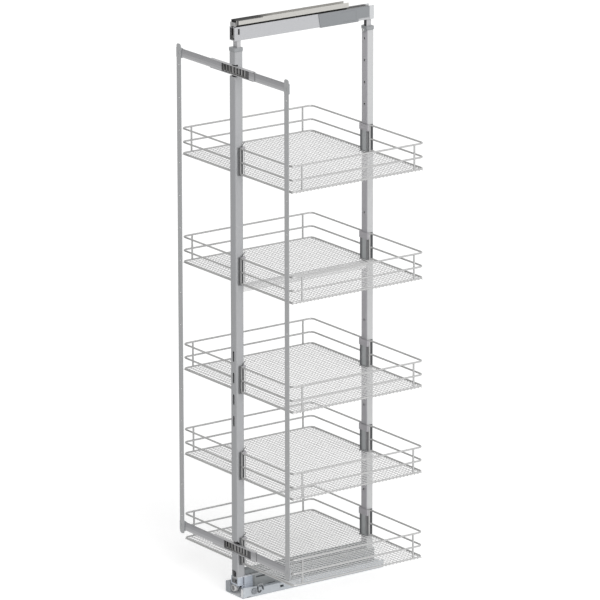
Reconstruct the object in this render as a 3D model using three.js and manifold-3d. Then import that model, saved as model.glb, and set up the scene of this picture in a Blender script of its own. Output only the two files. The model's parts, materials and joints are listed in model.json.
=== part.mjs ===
// Pull out larder unit for a 600 mm cabinet: a two post frame with five wire baskets, carried by a
// telescopic runner on the cabinet floor and guided by a telescopic rail under the cabinet top. Two
// flat bars on cross slides take the cabinet door. Shown closed. Millimetres, +Z up, the door side
// faces -Y, and the origin is the middle of the underside of the floor runner.
import * as THREE from 'three';
import { mergeVertices } from 'three/addons/utils/BufferGeometryUtils.js';
import Module from 'manifold-3d';

const wasm = await Module();
wasm.setup();

// ---------------------------------------------------------------- driving dimensions
// Fits
const seatGap = 0.3;             // pieces that are screwed, hooked or pushed together
const slideGap = 0.5;            // pieces that slide on each other

// Floor runner
const runnerLength = 497;
const runnerWidth = 90;
const runnerWallHeight = 25;
const runnerSheet = 2;
const runnerBend = 4;            // outside radius of the two long bottom edges
const trackWidth = 41;           // inside the two guide ribs
const trackRibHeight = 20;
const trackSetback = 45;         // the ribs' front ends behind the runner's
const trackLip = 3;              // each rib's lip over the intermediate member
const wallSlotLength = 13;       // slots in the runner's side walls
const wallSlotHeight = 7.4;
const wallSlotAxis = 14;         // slot's middle above the cabinet floor
const wallSlotSetback = 135;     // slot's middle behind the runner's front end
const cheekLength = 49.5;        // raised front part of the side walls
const cheekFrontHeight = 33;
const cheekRearHeight = 30.5;
const edgeNotchLength = 16;      // notch in the walls' lower edge
const edgeNotchHeight = 3;
const edgeNotchSetback = 20;     // notch's middle behind the runner's front end
const floorScrewHole = 5;
const floorScrewInset = 40;      // fixing holes from the runner's two ends

// Runner's front caps, adjuster and latch
const capDepth = 24;
const leftCapHeight = 34.5;
const rightCapHeight = 27.5;
const rightCapWidth = 11;        // the left cap fills the space beside the track
const bufferDiameter = 19;
const bufferOffset = -7.4;       // buffer's axis, from the middle of the unit
const bufferAxis = 20;           // and above the cabinet floor
const bufferLength = 13.5;
const bufferNose = 3;            // rounded part of its length
const knobDiameter = 19;
const knobThickness = 5;
const knobGrips = 9;
const knobSetback = 36.8;        // knob's axis behind the runner's front end
const knobAxis = 18.6;           // and above the cabinet floor
const latchThickness = 3;
const latchLeg = 3.2;            // width of its legs
const latchTop = 37;             // above the cabinet floor
const latchHookAxis = 17;        // middle of its round hook
const latchHookRadius = 7;
const latchSetback = 54.5;       // middle of the hook behind the runner's front end
const latchArmReach = 15;        // from the hook's middle to the slanted arm's foot

// Carriage under the frame
const memberSheet = 2;           // intermediate member of the floor runner
const memberLength = 430;
const memberSetback = 60;        // member's front end behind the runner's
const carriageLength = 432;
const carriageTop = 57.5;        // above the cabinet floor
const carriageWidth = 40;
const carriageSheet = 2;
const carriageStem = 14;         // stem between the track's lips
const shoeHeight = 37;           // plastic shoe round the front post's foot
const shoeLength = 51;
const shoeProud = 1.5;           // the shoe's front ahead of the runner's
const shoeCheek = 7.2;
const shoeLeftCheek = 2.7;
const shoeLeftCheekBottom = 32;  // above the cabinet floor
const shoeGroove = 4.2;          // upright groove in the right cheek
const shoeGrooveDepth = 1.4;
const shoeGrooveSetback = 19.8;  // groove's middle behind the shoe's front
const tieHeight = 13.2;          // tie bar between the posts' feet
const tieClearance = 3;          // above the carriage
const tieWidth = 24;
const tieSheet = 2;
const midTieHeight = 18;         // tie bar under the second basket
const midTieBottom = 903;        // above the cabinet floor

// Posts
const doorPlaneSetback = 0.5;    // plane behind the door bars, from the runner's front end
const postProud = 0.85;          // the front post's face ahead of that plane
const postSpacing = 456;         // centre to centre
const postWidth = 28;
const frontPostDepth = 27.2;
const rearPostDepth = 23;
const postSheet = 1.6;
const postCorner = 3.2;
const postBottom = 37;           // above the cabinet floor
const headGap = 23.3;            // from the posts' tops to the beam
const gridStart = 42.5;          // hole row zero above the cabinet floor
const gridPitch = 64;
const gridHole = 7;
const slotLength = 32;
const slotWidth = 8;
const slotRows = [7, 8, 9, 10];  // the front post's slots lie half a pitch above these rows
const topHoleCount = 3;          // holes in the rows under the post's top
const topHoleClearance = 30;     // from the highest of them to the post's top, at least
const footWindowWidth = 18.6;
const footWindowHeight = 19;
const footWindowBottom = 56;
const footWindowOffset = -2.5;   // its middle from the post's
const footWindowCorner = 4;
const footCutWidth = 9;          // small cut under the window
const footCutHeight = 10;
const footCutBottom = 40;
const footCutOffset = 6.5;
const slideNotchGap = 4;         // open above and below a cross slide in the post
const bottomNotchExtra = 4;      // more of it above the bottom slide
const bottomNotchCorner = 7;

// Telescopic post heads
const frontTubeWidth = 21.5;     // along X
const frontTubeDepth = 13.5;     // along Y
const rearTubeWidth = 14;
const rearTubeDepth = 17.5;
const tubeSheet = 1.5;
const tubeCorner = 2.5;
const tubeInsertion = 38;        // length inside the post
const frontTubeSetback = 3.5;    // tube's axis behind the post's
const rearTubeSetback = -0.4;
const collarHeight = 10.5;
const collarWall = 1.4;
const collarLid = 2.2;
const collarTaper = 3;           // height of its tapered lower edge
const collarTaperWall = 0.5;     // wall left at that edge
const clampBoss = 15;
const clampBossHeight = 2;
const clampBelowPostTop = 8.7;   // clamp screw's axis
const clampScrew = 9;
const clampScrewHead = 2;

// Baskets
const basketRows = [20, 15, 10, 6, 2];   // hole rows that carry them, top one first
const rimAboveRow = 3.3;
const basketWidth = 543;         // middle to middle of the side wires
const basketDepth = 455;         // and of the front and rear wires
const basketRimToRail = 40.3;
const basketRimToFloor = 73.9;
const wire = 5.5;
const wireBend = 13;             // corner radius of the rails
const uprightInset = 33;         // uprights from the basket's corners
const floorThickness = 3.6;
const floorBorder = 5.5;
const meshRib = 3.4;
const meshColumns = 8;
const meshRows = 6;
const hangerSheet = 1.2;         // steel hanger that joins the rails over a bracket
const hangerBand = 19;
const hangerTongue = 20;
const hangerInsets = [0.6, 5.2]; // front and rear hangers' wires, in from the line of the rails
const railJoggle = 6;            // slanted end of each rail, where it meets a hanger's wire
const bracketWall = 1.3;
const bracketArm = 19.7;         // how far a bracket's arms reach along the post
const bracketAboveRim = 2;
const bracketBelowFloor = 6.3;

// Cross slides and door bars
const topSlideBelowPost = 62.3;  // middle of the top cross slide, under the post's top
const bottomSlideHeight = 140.8; // middle of the bottom cross slide
const slideOuterEnds = [-111.6, 100];
const slideOuterHeight = 27.4;
const slideDepth = 9.6;
const slideSheet = 1.2;
const slideLip = 1;
const slideInnerDepth = 6;
const slideInnerSheet = 1.6;
const leftInnerEnd = 54;         // inner members' near ends from the middle of the unit
const rightInnerEnd = 80;
const cageLength = 196;
const cageSheet = 1.2;
const cageWindow = 8.4;
const cageWindowHeight = 17;
const cagePitch = 15;
const stopLength = 13;
const barOverhang = 2.8;         // each bar's outer edge beyond the baskets' side wires
const barWidth = 20.5;
const barThickness = 2;
const barCorner = 7;
const barBelowSlide = 22.8;      // from the bottom slide's middle to the bars' lower ends
const barAboveSlide = 26.3;      // from the top slide's middle to their upper ends
const barHole = 5;
const barHolePitch = 96;
const barFirstHole = 53;         // above the bar's lower end
const barStudLength = 12;
const barStudWidth = 6.5;
const saddleHeight = 28;
const saddleWall = 1.2;
const saddlePlate = 1.7;         // its plate behind the bar
const saddleBlockEdge = 4;       // its block's outer end, past the bar's middle
const tongueLength = 24;

// Top beam, its cover and the cabinet's top rail
const beamWidth = 25.4;
const beamHeight = 39.3;
const beamSheet = 2.4;
const beamBottom = 1635.3;       // above the cabinet floor
const beamRearSetback = 3.75;    // beam's rear end ahead of the rear post's axis
const beamSlotHeight = 16.4;
const beamSlotWidth = 6.5;
const beamSlotSetback = 11;
const beamSlotRise = 25.5;       // its middle above the beam's underside
const topMemberSheet = 1.6;
const topMemberLength = 380;
const topRailLength = 387;
const topRailSetback = 6;        // rail's front end behind the beam's
const topRailWidth = 27;
const topRailHeight = 13.7;
const topRailSheet = 2;
const topRailStem = 6;
const topRailShadow = 5.25;      // gap between the beam's lips and the rail
const coverWall = 1.8;
const coverStart = 294;          // behind the beam's front end
const coverBelowBeam = 1.5;
const coverSlant = 7;            // lean of the cover's front edge
const coverStep = 38.7;          // raised part at the cover's rear end
const coverStepHeight = 9.1;
const panelLength = 48;          // shallow recess in the cover's side
const panelDepth = 0.6;
const panelEdge = 6;             // from the recess to the cover's upper and lower edges
const panelRear = 47;            // from the recess to the cover's rear end
const endPlate = 15.6;
const endPlateWidth = 28;

// ---------------------------------------------------------------- places that follow
const runnerFront = -runnerLength / 2;
const doorPlaneY = runnerFront + doorPlaneSetback;
const postFaceY = doorPlaneY - postProud;
const frontPostY = postFaceY + frontPostDepth / 2;
const rearPostY = frontPostY + postSpacing;
const basketFrontY = frontPostY;
const basketRearY = basketFrontY + basketDepth;
const rowHeight = (row) => gridStart + gridPitch * row;
const rimHeights = basketRows.map((row) => rowHeight(row) + rimAboveRow);
const beamFrontY = doorPlaneY;
const beamLength = rearPostY - beamRearSetback - beamFrontY;
const beamTop = beamBottom + beamHeight;
const postTop = beamBottom - headGap;
const slideFrontY = doorPlaneY + seatGap;
const slideBackY = doorPlaneY + slideDepth;
const highestRow = Math.floor((postTop - topHoleClearance - gridStart) / gridPitch);
const slideHeights = [postTop - topSlideBelowPost, bottomSlideHeight];
const topRailBottom = beamTop + topRailShadow;
const topRailFrontY = beamFrontY + topRailSetback;
const barX = basketWidth / 2 + barOverhang - barWidth / 2;
const barFaceY = doorPlaneY - barThickness;
const barBottom = slideHeights[1] - barBelowSlide;
const barTop = slideHeights[0] + barAboveSlide;

// ---------------------------------------------------------------- shapes and solids
const unit = new THREE.Group();

function finish(colour, roughness, metalness) {
  return new THREE.MeshStandardMaterial({ color: colour, roughness, metalness });
}
const finishes = {
  runner: finish(0xbcc2c7, 0.45, 0.5),
  carriage: finish(0x7f8587, 0.5, 0.4),
  darkSteel: finish(0x5c6063, 0.5, 0.4),
  shoe: finish(0xb3bcc6, 0.5, 0),
  cap: finish(0xa4a8ac, 0.55, 0),
  white: finish(0xe2e4e6, 0.5, 0),
  post: finish(0xa3a4a7, 0.4, 0.5),
  bar: finish(0x9b9c9f, 0.45, 0.5),
  beam: finish(0xbcbdc0, 0.4, 0.4),
  cover: finish(0x97999c, 0.6, 0),
  bracket: finish(0x4e5052, 0.6, 0),
  wire: finish(0xb2b2b2, 0.3, 0.8),
  slide: finish(0xa2a3a6, 0.35, 0.8),
  cage: finish(0x3d3d3f, 0.5, 0.3),
};

function addMesh(name, geometry, material) {
  const mesh = new THREE.Mesh(geometry, material);
  mesh.name = name;
  unit.add(mesh);
  return mesh;
}

function toSolid(geometry) {
  const bare = geometry.clone();
  bare.deleteAttribute('normal');
  bare.deleteAttribute('uv');
  const merged = mergeVertices(bare, 1e-4);
  return new wasm.Manifold(new wasm.Mesh({
    numProp: 3,
    vertProperties: new Float32Array(merged.attributes.position.array),
    triVerts: new Uint32Array(merged.index.array),
  }));
}

function toGeometry(solid) {
  const mesh = solid.getMesh();
  const geometry = new THREE.BufferGeometry();
  geometry.setAttribute('position', new THREE.BufferAttribute(mesh.vertProperties, 3));
  geometry.setIndex(new THREE.BufferAttribute(mesh.triVerts, 1));
  geometry.computeVertexNormals();
  return geometry;
}

// One solid from a first geometry, those joined to it and those cut out of it.
function combine(first, joined, cut = []) {
  let solid = toSolid(first);
  for (const geometry of joined) solid = solid.add(toSolid(geometry));
  for (const geometry of cut) solid = solid.subtract(toSolid(geometry));
  return toGeometry(solid);
}

function box(x0, x1, y0, y1, z0, z1) {
  const geometry = new THREE.BoxGeometry(x1 - x0, y1 - y0, z1 - z0);
  return geometry.translate((x0 + x1) / 2, (y0 + y1) / 2, (z0 + z1) / 2);
}

function cylinder(diameter, length, sides, axis, x, y, z) {
  const geometry = new THREE.CylinderGeometry(diameter / 2, diameter / 2, length, sides);
  if (axis === 'x') geometry.rotateZ(Math.PI / 2);
  if (axis === 'z') geometry.rotateX(Math.PI / 2);
  return geometry.translate(x, y, z);
}

function polygon(points) {
  return new THREE.Shape(points.map(([x, y]) => new THREE.Vector2(x, y)));
}

function roundedRectangle(width, height, radius, target = new THREE.Shape()) {
  const x = width / 2;
  const y = height / 2;
  target.moveTo(-x + radius, -y);
  target.lineTo(x - radius, -y);
  target.absarc(x - radius, -y + radius, radius, -Math.PI / 2, 0);
  target.lineTo(x, y - radius);
  target.absarc(x - radius, y - radius, radius, 0, Math.PI / 2);
  target.lineTo(-x + radius, y);
  target.absarc(-x + radius, y - radius, radius, Math.PI / 2, Math.PI);
  target.lineTo(-x, -y + radius);
  target.absarc(-x + radius, -y + radius, radius, Math.PI, Math.PI * 1.5);
  return target;
}

function obround(length, width, x, y, target = new THREE.Path()) {
  const radius = width / 2;
  const half = length / 2 - radius;
  target.absarc(x, y + half, radius, 0, Math.PI);
  target.absarc(x, y - half, radius, Math.PI, Math.PI * 2);
  return target;
}

// Profiles are drawn in the plane that is cut: across X and Z and pushed along Y, across Y and Z and
// pushed along X, or across X and Y and pushed up along Z.
function alongY(shape, y0, y1, curveSegments = 3) {
  const depth = y1 - y0;
  const geometry = new THREE.ExtrudeGeometry(shape, { depth, bevelEnabled: false, curveSegments });
  return geometry.rotateX(Math.PI / 2).translate(0, y1, 0);
}

function alongX(shape, x0, x1, curveSegments = 3) {
  const depth = x1 - x0;
  const geometry = new THREE.ExtrudeGeometry(shape, { depth, bevelEnabled: false, curveSegments });
  return geometry.rotateX(Math.PI / 2).rotateZ(Math.PI / 2).translate(x0, 0, 0);
}

function alongZ(shape, z0, z1, curveSegments = 3) {
  const depth = z1 - z0;
  const geometry = new THREE.ExtrudeGeometry(shape, { depth, bevelEnabled: false, curveSegments });
  return geometry.translate(0, 0, z0);
}

// A C section, open at the top, with lips turned in; drawn about the line x = 0 from z = bottom up.
function lippedChannel(width, bottom, height, sheet, lip) {
  const x = width / 2;
  const top = bottom + height;
  return polygon([
    [-x, bottom], [x, bottom], [x, top], [x - lip - sheet, top], [x - lip - sheet, top - sheet],
    [x - sheet, top - sheet], [x - sheet, bottom + sheet], [-x + sheet, bottom + sheet],
    [-x + sheet, top - sheet], [-x + lip + sheet, top - sheet], [-x + lip + sheet, top], [-x, top],
  ]);
}

// A wire's route through given points, with one ring of the section at each of them.
class BentWire extends THREE.Curve {
  constructor(points) {
    super();
    this.points = points;
  }
  getPoint(t, target = new THREE.Vector3()) {
    const place = t * (this.points.length - 1);
    const index = Math.min(Math.floor(place), this.points.length - 2);
    return target.lerpVectors(this.points[index], this.points[index + 1], place - index);
  }
  getTangent(t, target = new THREE.Vector3()) {
    const last = this.points.length - 1;
    const index = Math.round(t * last);
    const before = this.points[Math.max(index - 1, 0)].clone();
    const after = this.points[Math.min(index + 1, last)].clone();
    const here = this.points[index];
    if (index > 0) before.sub(here).normalize().negate();
    if (index < last) after.sub(here).normalize();
    if (index === 0) return target.copy(after);
    if (index === last) return target.copy(before);
    return target.copy(before.add(after)).normalize();
  }
  getUtoTmapping(u) {
    return u;
  }
}

function bentWire(points, diameter, sides = 6) {
  const section = new THREE.Shape();
  for (let side = 0; side < sides; side += 1) {
    const angle = ((side + 0.5) / sides) * Math.PI * 2;
    const corner = [Math.cos(angle) * diameter / 2, Math.sin(angle) * diameter / 2];
    if (side === 0) section.moveTo(...corner);
    else section.lineTo(...corner);
  }
  section.closePath();
  const extrudePath = new BentWire(points);
  return new THREE.ExtrudeGeometry(section, { steps: points.length - 1, extrudePath });
}

// ---------------------------------------------------------------- floor runner
const ribX = trackWidth / 2;
const memberWidth = trackWidth - 2 * slideGap;
const memberBottom = runnerSheet + slideGap;
const memberHeight = trackRibHeight - runnerSheet - memberBottom - slideGap;
const stemFootBottom = memberBottom + memberSheet + slideGap;
const stemFootHeight = memberHeight - 2 * memberSheet - 2 * slideGap;
const stemFootWidth = memberWidth - 2 * memberSheet - 2 * slideGap;
const memberLip = (memberWidth - carriageStem) / 2 - memberSheet - slideGap - 0.4;

function buildRunner() {
  const x = runnerWidth / 2;
  const bend = runnerBend;
  const sheet = runnerSheet;
  const profile = new THREE.Shape();
  profile.moveTo(-x + bend, 0);
  profile.lineTo(x - bend, 0);
  profile.absarc(x - bend, bend, bend, -Math.PI / 2, 0);
  profile.lineTo(x, runnerWallHeight);
  profile.lineTo(x - sheet, runnerWallHeight);
  profile.lineTo(x - sheet, bend);
  profile.lineTo(x - bend, sheet);
  for (const side of [1, -1]) {
    const near = side * (ribX + (side > 0 ? sheet : 0));
    const inner = side * ribX;
    const outer = side * (ribX + sheet);
    const tip = side * (ribX - trackLip);
    if (side > 0) {
      profile.lineTo(near, sheet);
      profile.lineTo(outer, trackRibHeight);
      profile.lineTo(tip, trackRibHeight);
      profile.lineTo(tip, trackRibHeight - sheet);
      profile.lineTo(inner, trackRibHeight - sheet);
      profile.lineTo(inner, sheet);
    } else {
      profile.lineTo(inner, sheet);
      profile.lineTo(inner, trackRibHeight - sheet);
      profile.lineTo(tip, trackRibHeight - sheet);
      profile.lineTo(tip, trackRibHeight);
      profile.lineTo(outer, trackRibHeight);
      profile.lineTo(outer, sheet);
    }
  }
  profile.lineTo(-x + bend, sheet);
  profile.lineTo(-x + sheet, bend);
  profile.lineTo(-x + sheet, runnerWallHeight);
  profile.lineTo(-x, runnerWallHeight);
  profile.lineTo(-x, bend);
  profile.absarc(-x + bend, bend, bend, Math.PI, Math.PI * 1.5);
  const body = alongY(profile, runnerFront, -runnerFront);

  const slotY = runnerFront + wallSlotSetback;
  const slotZ = wallSlotAxis;
  const cheekEnd = runnerFront + cheekLength;
  const cheek = polygon([
    [runnerFront, runnerWallHeight - 1], [cheekEnd, runnerWallHeight - 1],
    [cheekEnd, cheekRearHeight], [runnerFront, cheekFrontHeight],
  ]);
  const cheeks = [alongX(cheek, x - sheet, x), alongX(cheek, -x, -x + sheet)];
  const notchY = runnerFront + edgeNotchSetback;
  const ribOutside = ribX + sheet + seatGap;
  const cuts = [box(-ribOutside, ribOutside, runnerFront - 1, runnerFront + trackSetback, sheet,
    trackRibHeight + 1)];
  for (const side of [1, -1]) {
    cuts.push(box(side * x - 3, side * x + 3, slotY - wallSlotLength / 2, slotY + wallSlotLength / 2,
      slotZ - wallSlotHeight / 2, slotZ + wallSlotHeight / 2));
    cuts.push(box(side * x - bend, side * x + bend, notchY - edgeNotchLength / 2,
      notchY + edgeNotchLength / 2, -1, edgeNotchHeight));
    for (const end of [1, -1]) {
      const y = end * (runnerLength / 2 - floorScrewInset);
      const midX = side * (ribX + x) / 2;
      cuts.push(cylinder(floorScrewHole, sheet + 2, 8, 'z', midX, y, sheet / 2));
    }
  }
  cuts.push(cylinder(clampScrew + slideGap, 2 * sheet + 2, 10, 'x', x - sheet / 2,
    runnerFront + knobSetback, knobAxis));
  addMesh('runner', combine(body, cheeks, cuts), finishes.runner);
}

function buildRunnerCap(name, side, width, height) {
  const outer = runnerWidth / 2 - runnerSheet - seatGap;
  const inner = outer - width;
  const clear = runnerSheet + seatGap;
  const low = runnerBend + seatGap;
  const round = Math.min(5, width / 2);
  const profile = new THREE.Shape();
  profile.moveTo(inner, clear);
  profile.lineTo(outer - low, clear);
  profile.lineTo(outer, low);
  profile.lineTo(outer, height - round);
  profile.absarc(outer - round, height - round, round, 0, Math.PI / 2);
  profile.lineTo(inner, height);
  const geometry = alongY(profile, runnerFront, runnerFront + capDepth);
  if (side < 0) geometry.rotateZ(Math.PI).translate(0, 2 * runnerFront + capDepth, 0);
  addMesh(name, geometry, finishes.cap);
}

// The closing buffer hangs in the front of the shoe, ahead of the intermediate member.
function buildBuffer() {
  const radius = bufferDiameter / 2;
  const points = [[0, 0], [radius - bufferNose, 0]];
  for (const angle of [30, 60, 90]) {
    const turn = angle * Math.PI / 180;
    points.push([radius - bufferNose + bufferNose * Math.sin(turn),
      bufferNose - bufferNose * Math.cos(turn)]);
  }
  points.push([radius, bufferLength], [0, bufferLength]);
  const body = new THREE.LatheGeometry(points.map(([x, y]) => new THREE.Vector2(x, y)), 14);
  const dimple = new THREE.CylinderGeometry(radius - bufferNose, radius - bufferNose, 1.2, 14);
  const geometry = combine(body, [], [dimple]);
  addMesh('carriage_buffer', geometry.translate(bufferOffset, postFaceY, bufferAxis), finishes.white);
}

// The adjuster turns in the right side wall; its rim has finger grips.
function buildKnob() {
  const rim = new THREE.Shape();
  const steps = knobGrips * 4;
  for (let step = 0; step < steps; step += 1) {
    const angle = (step / steps) * Math.PI * 2;
    const radius = knobDiameter / 2 - (step % 4 === 0 ? 1.1 : 0);
    const point = [Math.cos(angle) * radius, Math.sin(angle) * radius];
    if (step === 0) rim.moveTo(...point);
    else rim.lineTo(...point);
  }
  rim.closePath();
  const wall = runnerWidth / 2;
  const head = alongX(rim, wall + seatGap, wall + seatGap + knobThickness);
  const shank = cylinder(clampScrew - slideGap, 8, 10, 'x', wall + 1, 0, 0);
  const socket = cylinder(6, 3, 6, 'x', wall + seatGap + knobThickness, 0, 0);
  const geometry = combine(head, [shank], [socket]);
  geometry.translate(0, runnerFront + knobSetback, knobAxis);
  addMesh('adjuster_knob', geometry, finishes.darkSteel);
}

function buildLatch() {
  const outer = latchHookRadius;
  const inner = outer - latchLeg;
  const top = latchTop - latchHookAxis;
  const hook = new THREE.Shape();
  hook.moveTo(-outer, 0);
  hook.absarc(0, 0, outer, Math.PI, Math.PI * 2);
  hook.lineTo(inner, 0);
  hook.absarc(0, 0, inner, Math.PI * 2, Math.PI, true);
  hook.lineTo(-inner, top - latchLeg);
  hook.lineTo(latchArmReach - outer, top - latchLeg);
  hook.lineTo(latchArmReach - latchLeg, 0);
  hook.lineTo(latchArmReach, 0);
  hook.lineTo(latchArmReach - outer + latchLeg, top);
  hook.lineTo(-outer, top);
  const wall = runnerWidth / 2;
  const geometry = alongX(hook, wall + seatGap, wall + seatGap + latchThickness);
  geometry.translate(0, runnerFront + latchSetback, latchHookAxis);
  addMesh('latch_hook', geometry, finishes.darkSteel);
}

function buildRunnerMember() {
  const profile = lippedChannel(memberWidth, memberBottom, memberHeight, memberSheet, memberLip);
  const front = runnerFront + memberSetback;
  addMesh('runner_member', alongY(profile, front, front + memberLength), finishes.slide);
}

// The carriage is a box section on a stem whose foot runs inside the intermediate member.
const carriageBottom = trackRibHeight + slideGap;
const shoeFront = runnerFront - shoeProud;
const carriageFront = shoeFront + shoeLength + 2 * seatGap;

function buildCarriage() {
  const x = carriageWidth / 2;
  const stem = carriageStem / 2;
  const foot = stemFootWidth / 2;
  const footTop = stemFootBottom + stemFootHeight;
  const profile = polygon([
    [-foot, stemFootBottom], [foot, stemFootBottom], [foot, footTop], [stem, footTop],
    [stem, carriageBottom], [x, carriageBottom], [x, carriageTop], [-x, carriageTop],
    [-x, carriageBottom], [-stem, carriageBottom], [-stem, footTop], [-foot, footTop],
  ]);
  const wall = carriageSheet;
  profile.holes.push(new THREE.Path([
    new THREE.Vector2(-x + wall, carriageBottom + wall),
    new THREE.Vector2(-x + wall, carriageTop - wall),
    new THREE.Vector2(x - wall, carriageTop - wall),
    new THREE.Vector2(x - wall, carriageBottom + wall),
  ]));
  const geometry = alongY(profile, carriageFront, carriageFront + carriageLength);
  const pocket = postPocket(rearPostY, rearPostDepth);
  addMesh('carriage', combine(geometry, [], [pocket]), finishes.carriage);
}

function postPocket(y, depth) {
  const x = postWidth / 2 + seatGap;
  const half = depth / 2 + seatGap;
  return box(-x, x, y - half, y + half, postBottom - seatGap, carriageTop + 1);
}

// The shoe holds the front post's foot and is open to the front.
function buildShoe() {
  const x = postWidth / 2 + seatGap;
  const right = x + shoeCheek;
  const left = -x - shoeLeftCheek;
  const y0 = shoeFront;
  const y1 = carriageFront - seatGap;
  const bottom = carriageBottom;
  const top = bottom + shoeHeight;
  const outline = new THREE.Shape();
  outline.moveTo(left, y0 + 2);
  outline.lineTo(right - 4, y0);
  outline.absarc(right - 4, y0 + 4, 4, -Math.PI / 2, 0);
  outline.lineTo(right, y1);
  outline.lineTo(left, y1);
  const block = alongZ(outline, bottom, top);
  const pocketBack = postFaceY + frontPostDepth + seatGap;
  const pocket = box(-x, x, y0 - 10, pocketBack, postBottom - seatGap, top + 1);
  const underCheek = box(left - 1, -x, y0 - 1, y1 + 1, bottom - 1, shoeLeftCheekBottom);
  const grooveY = y0 + shoeGrooveSetback;
  const groove = box(right - shoeGrooveDepth, right + 1, grooveY - shoeGroove / 2,
    grooveY + shoeGroove / 2, bottom - 1, top + 1);
  const seat = cylinder(bufferDiameter + 2 * seatGap, 2 * (bufferLength + seatGap), 14, 'y',
    bufferOffset, postFaceY, bufferAxis);
  addMesh('carriage_shoe', combine(block, [], [pocket, underCheek, groove, seat]), finishes.shoe);
}

// A folded tie bar between the two posts, open underneath.
function buildTie(name, bottom, height, material) {
  const y0 = frontPostY + frontPostDepth / 2 + seatGap;
  const y1 = rearPostY - rearPostDepth / 2 - seatGap;
  const x = tieWidth / 2;
  const sheet = tieSheet;
  const profile = polygon([
    [-x, bottom], [-x + sheet, bottom], [-x + sheet, bottom + height - sheet],
    [x - sheet, bottom + height - sheet], [x - sheet, bottom], [x, bottom],
    [x, bottom + height], [-x, bottom + height],
  ]);
  addMesh(name, alongY(profile, y0, y1), material);
}

// ---------------------------------------------------------------- posts and their heads
function tubeShape(width, depth, sheet, corner) {
  const shape = roundedRectangle(width, depth, corner);
  const inside = Math.max(corner - sheet, 0.4);
  const hole = roundedRectangle(width - 2 * sheet, depth - 2 * sheet, inside, new THREE.Path());
  shape.holes.push(hole);
  return shape;
}

// The post's front wall ends above the bottom slide in a tongue with two round corners.
function notchCorners(face, z) {
  const x = postWidth / 2;
  const radius = bottomNotchCorner;
  return [1, -1].map((side) => {
    const points = [[side * (x + 1), z - 1], [side * (x + 1), z + radius]];
    for (const angle of [0, 22.5, 45, 67.5, 90]) {
      const turn = angle * Math.PI / 180;
      points.push([side * (x - radius + radius * Math.cos(turn)), z + radius - radius * Math.sin(turn)]);
    }
    points.push([side * (x - radius), z - 1]);
    return alongY(polygon(points), face - 1, face + postCorner);
  });
}

function buildPost(name, y, depth, isFront) {
  const shape = tubeShape(postWidth, depth, postSheet, postCorner);
  const body = alongZ(shape, postBottom, postTop, 2).translate(0, y, 0);
  const face = y - depth / 2;
  const cuts = [];
  if (isFront) {
    for (const row of slotRows) {
      const slot = obround(slotLength, slotWidth, 0, rowHeight(row + 0.5), new THREE.Shape());
      cuts.push(alongY(slot, face - 1, face + postSheet + 1, 3));
    }
    const window = roundedRectangle(footWindowWidth, footWindowHeight, footWindowCorner);
    cuts.push(alongY(window, face - 1, face + postSheet + 1, 2)
      .translate(footWindowOffset, 0, footWindowBottom + footWindowHeight / 2));
    cuts.push(box(footCutOffset - footCutWidth / 2, footCutOffset + footCutWidth / 2, face - 1,
      face + postSheet + 1, footCutBottom, footCutBottom + footCutHeight));
    slideHeights.forEach((height, index) => {
      const reach = slideOuterHeight / 2 + slideNotchGap;
      const above = reach + (index === 0 ? 0 : bottomNotchExtra);
      const below = index === 0 ? reach : slideOuterHeight / 2 + seatGap;
      cuts.push(box(-postWidth, postWidth, face - 1, slideBackY + seatGap,
        height - below, height + above));
      if (index > 0) cuts.push(...notchCorners(face, height + above));
    });
  } else {
    const rows = basketRows.map((row) => row + 1);
    for (let count = 0; count < topHoleCount; count += 1) rows.push(highestRow - count);
    for (const row of rows) {
      cuts.push(cylinder(gridHole, postSheet + 2, 8, 'y', 0, face + postSheet / 2, rowHeight(row)));
    }
  }
  addMesh(name, combine(body, [], cuts), finishes.post);
}

function buildTube(name, width, depth, y) {
  const shape = tubeShape(width, depth, tubeSheet, tubeCorner);
  const geometry = alongZ(shape, postTop - tubeInsertion, beamBottom - seatGap, 1);
  addMesh(name, geometry.translate(0, y, 0), finishes.slide);
}

// A collar caps the post, guides the tube, and carries the clamp screw on the basket side.
function buildCollar(name, postY, depth, tube, side) {
  const top = postTop + seatGap + collarLid;
  const bottom = top - collarHeight;
  const width = postWidth + 2 * (seatGap + collarWall);
  const length = depth + 2 * (seatGap + collarWall);
  const outline = roundedRectangle(width, length, postCorner + collarWall);
  const block = alongZ(outline, bottom + collarTaper, top, 2).translate(0, postY, 0);
  const taper = alongZ(outline, bottom, bottom + collarTaper, 2);
  const places = taper.attributes.position;
  const thinner = 2 * (collarWall - collarTaperWall);
  for (let index = 0; index < places.count; index += 1) {
    if (places.getZ(index) < bottom + collarTaper / 2) {
      places.setX(index, places.getX(index) * (1 - thinner / width));
      places.setY(index, places.getY(index) * (1 - thinner / length));
    }
  }
  taper.translate(0, postY, 0);
  const faceY = postY + side * length / 2;
  const bossZ = postTop - clampBelowPostTop;
  const boss = cylinder(clampBoss, clampBossHeight + collarWall, 16, 'y',
    0, faceY + side * (clampBossHeight - collarWall) / 2, bossZ);
  const below = bossZ - clampBoss;
  const pocket = alongZ(roundedRectangle(postWidth + 2 * seatGap, depth + 2 * seatGap, postCorner),
    below, postTop + seatGap, 2).translate(0, postY, 0);
  const hole = alongZ(
    roundedRectangle(tube.width + 2 * seatGap, tube.depth + 2 * seatGap, tubeCorner),
    bottom - 1, top + 1, 1).translate(0, tube.y, 0);
  const bore = cylinder(clampScrew - 3, 6 * (clampBossHeight + collarWall), 8, 'y', 0, faceY, bossZ);
  addMesh(name, combine(block, [taper, boss], [pocket, hole, bore]), finishes.post);
  return { faceY: faceY + side * clampBossHeight, bossZ };
}

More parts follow.
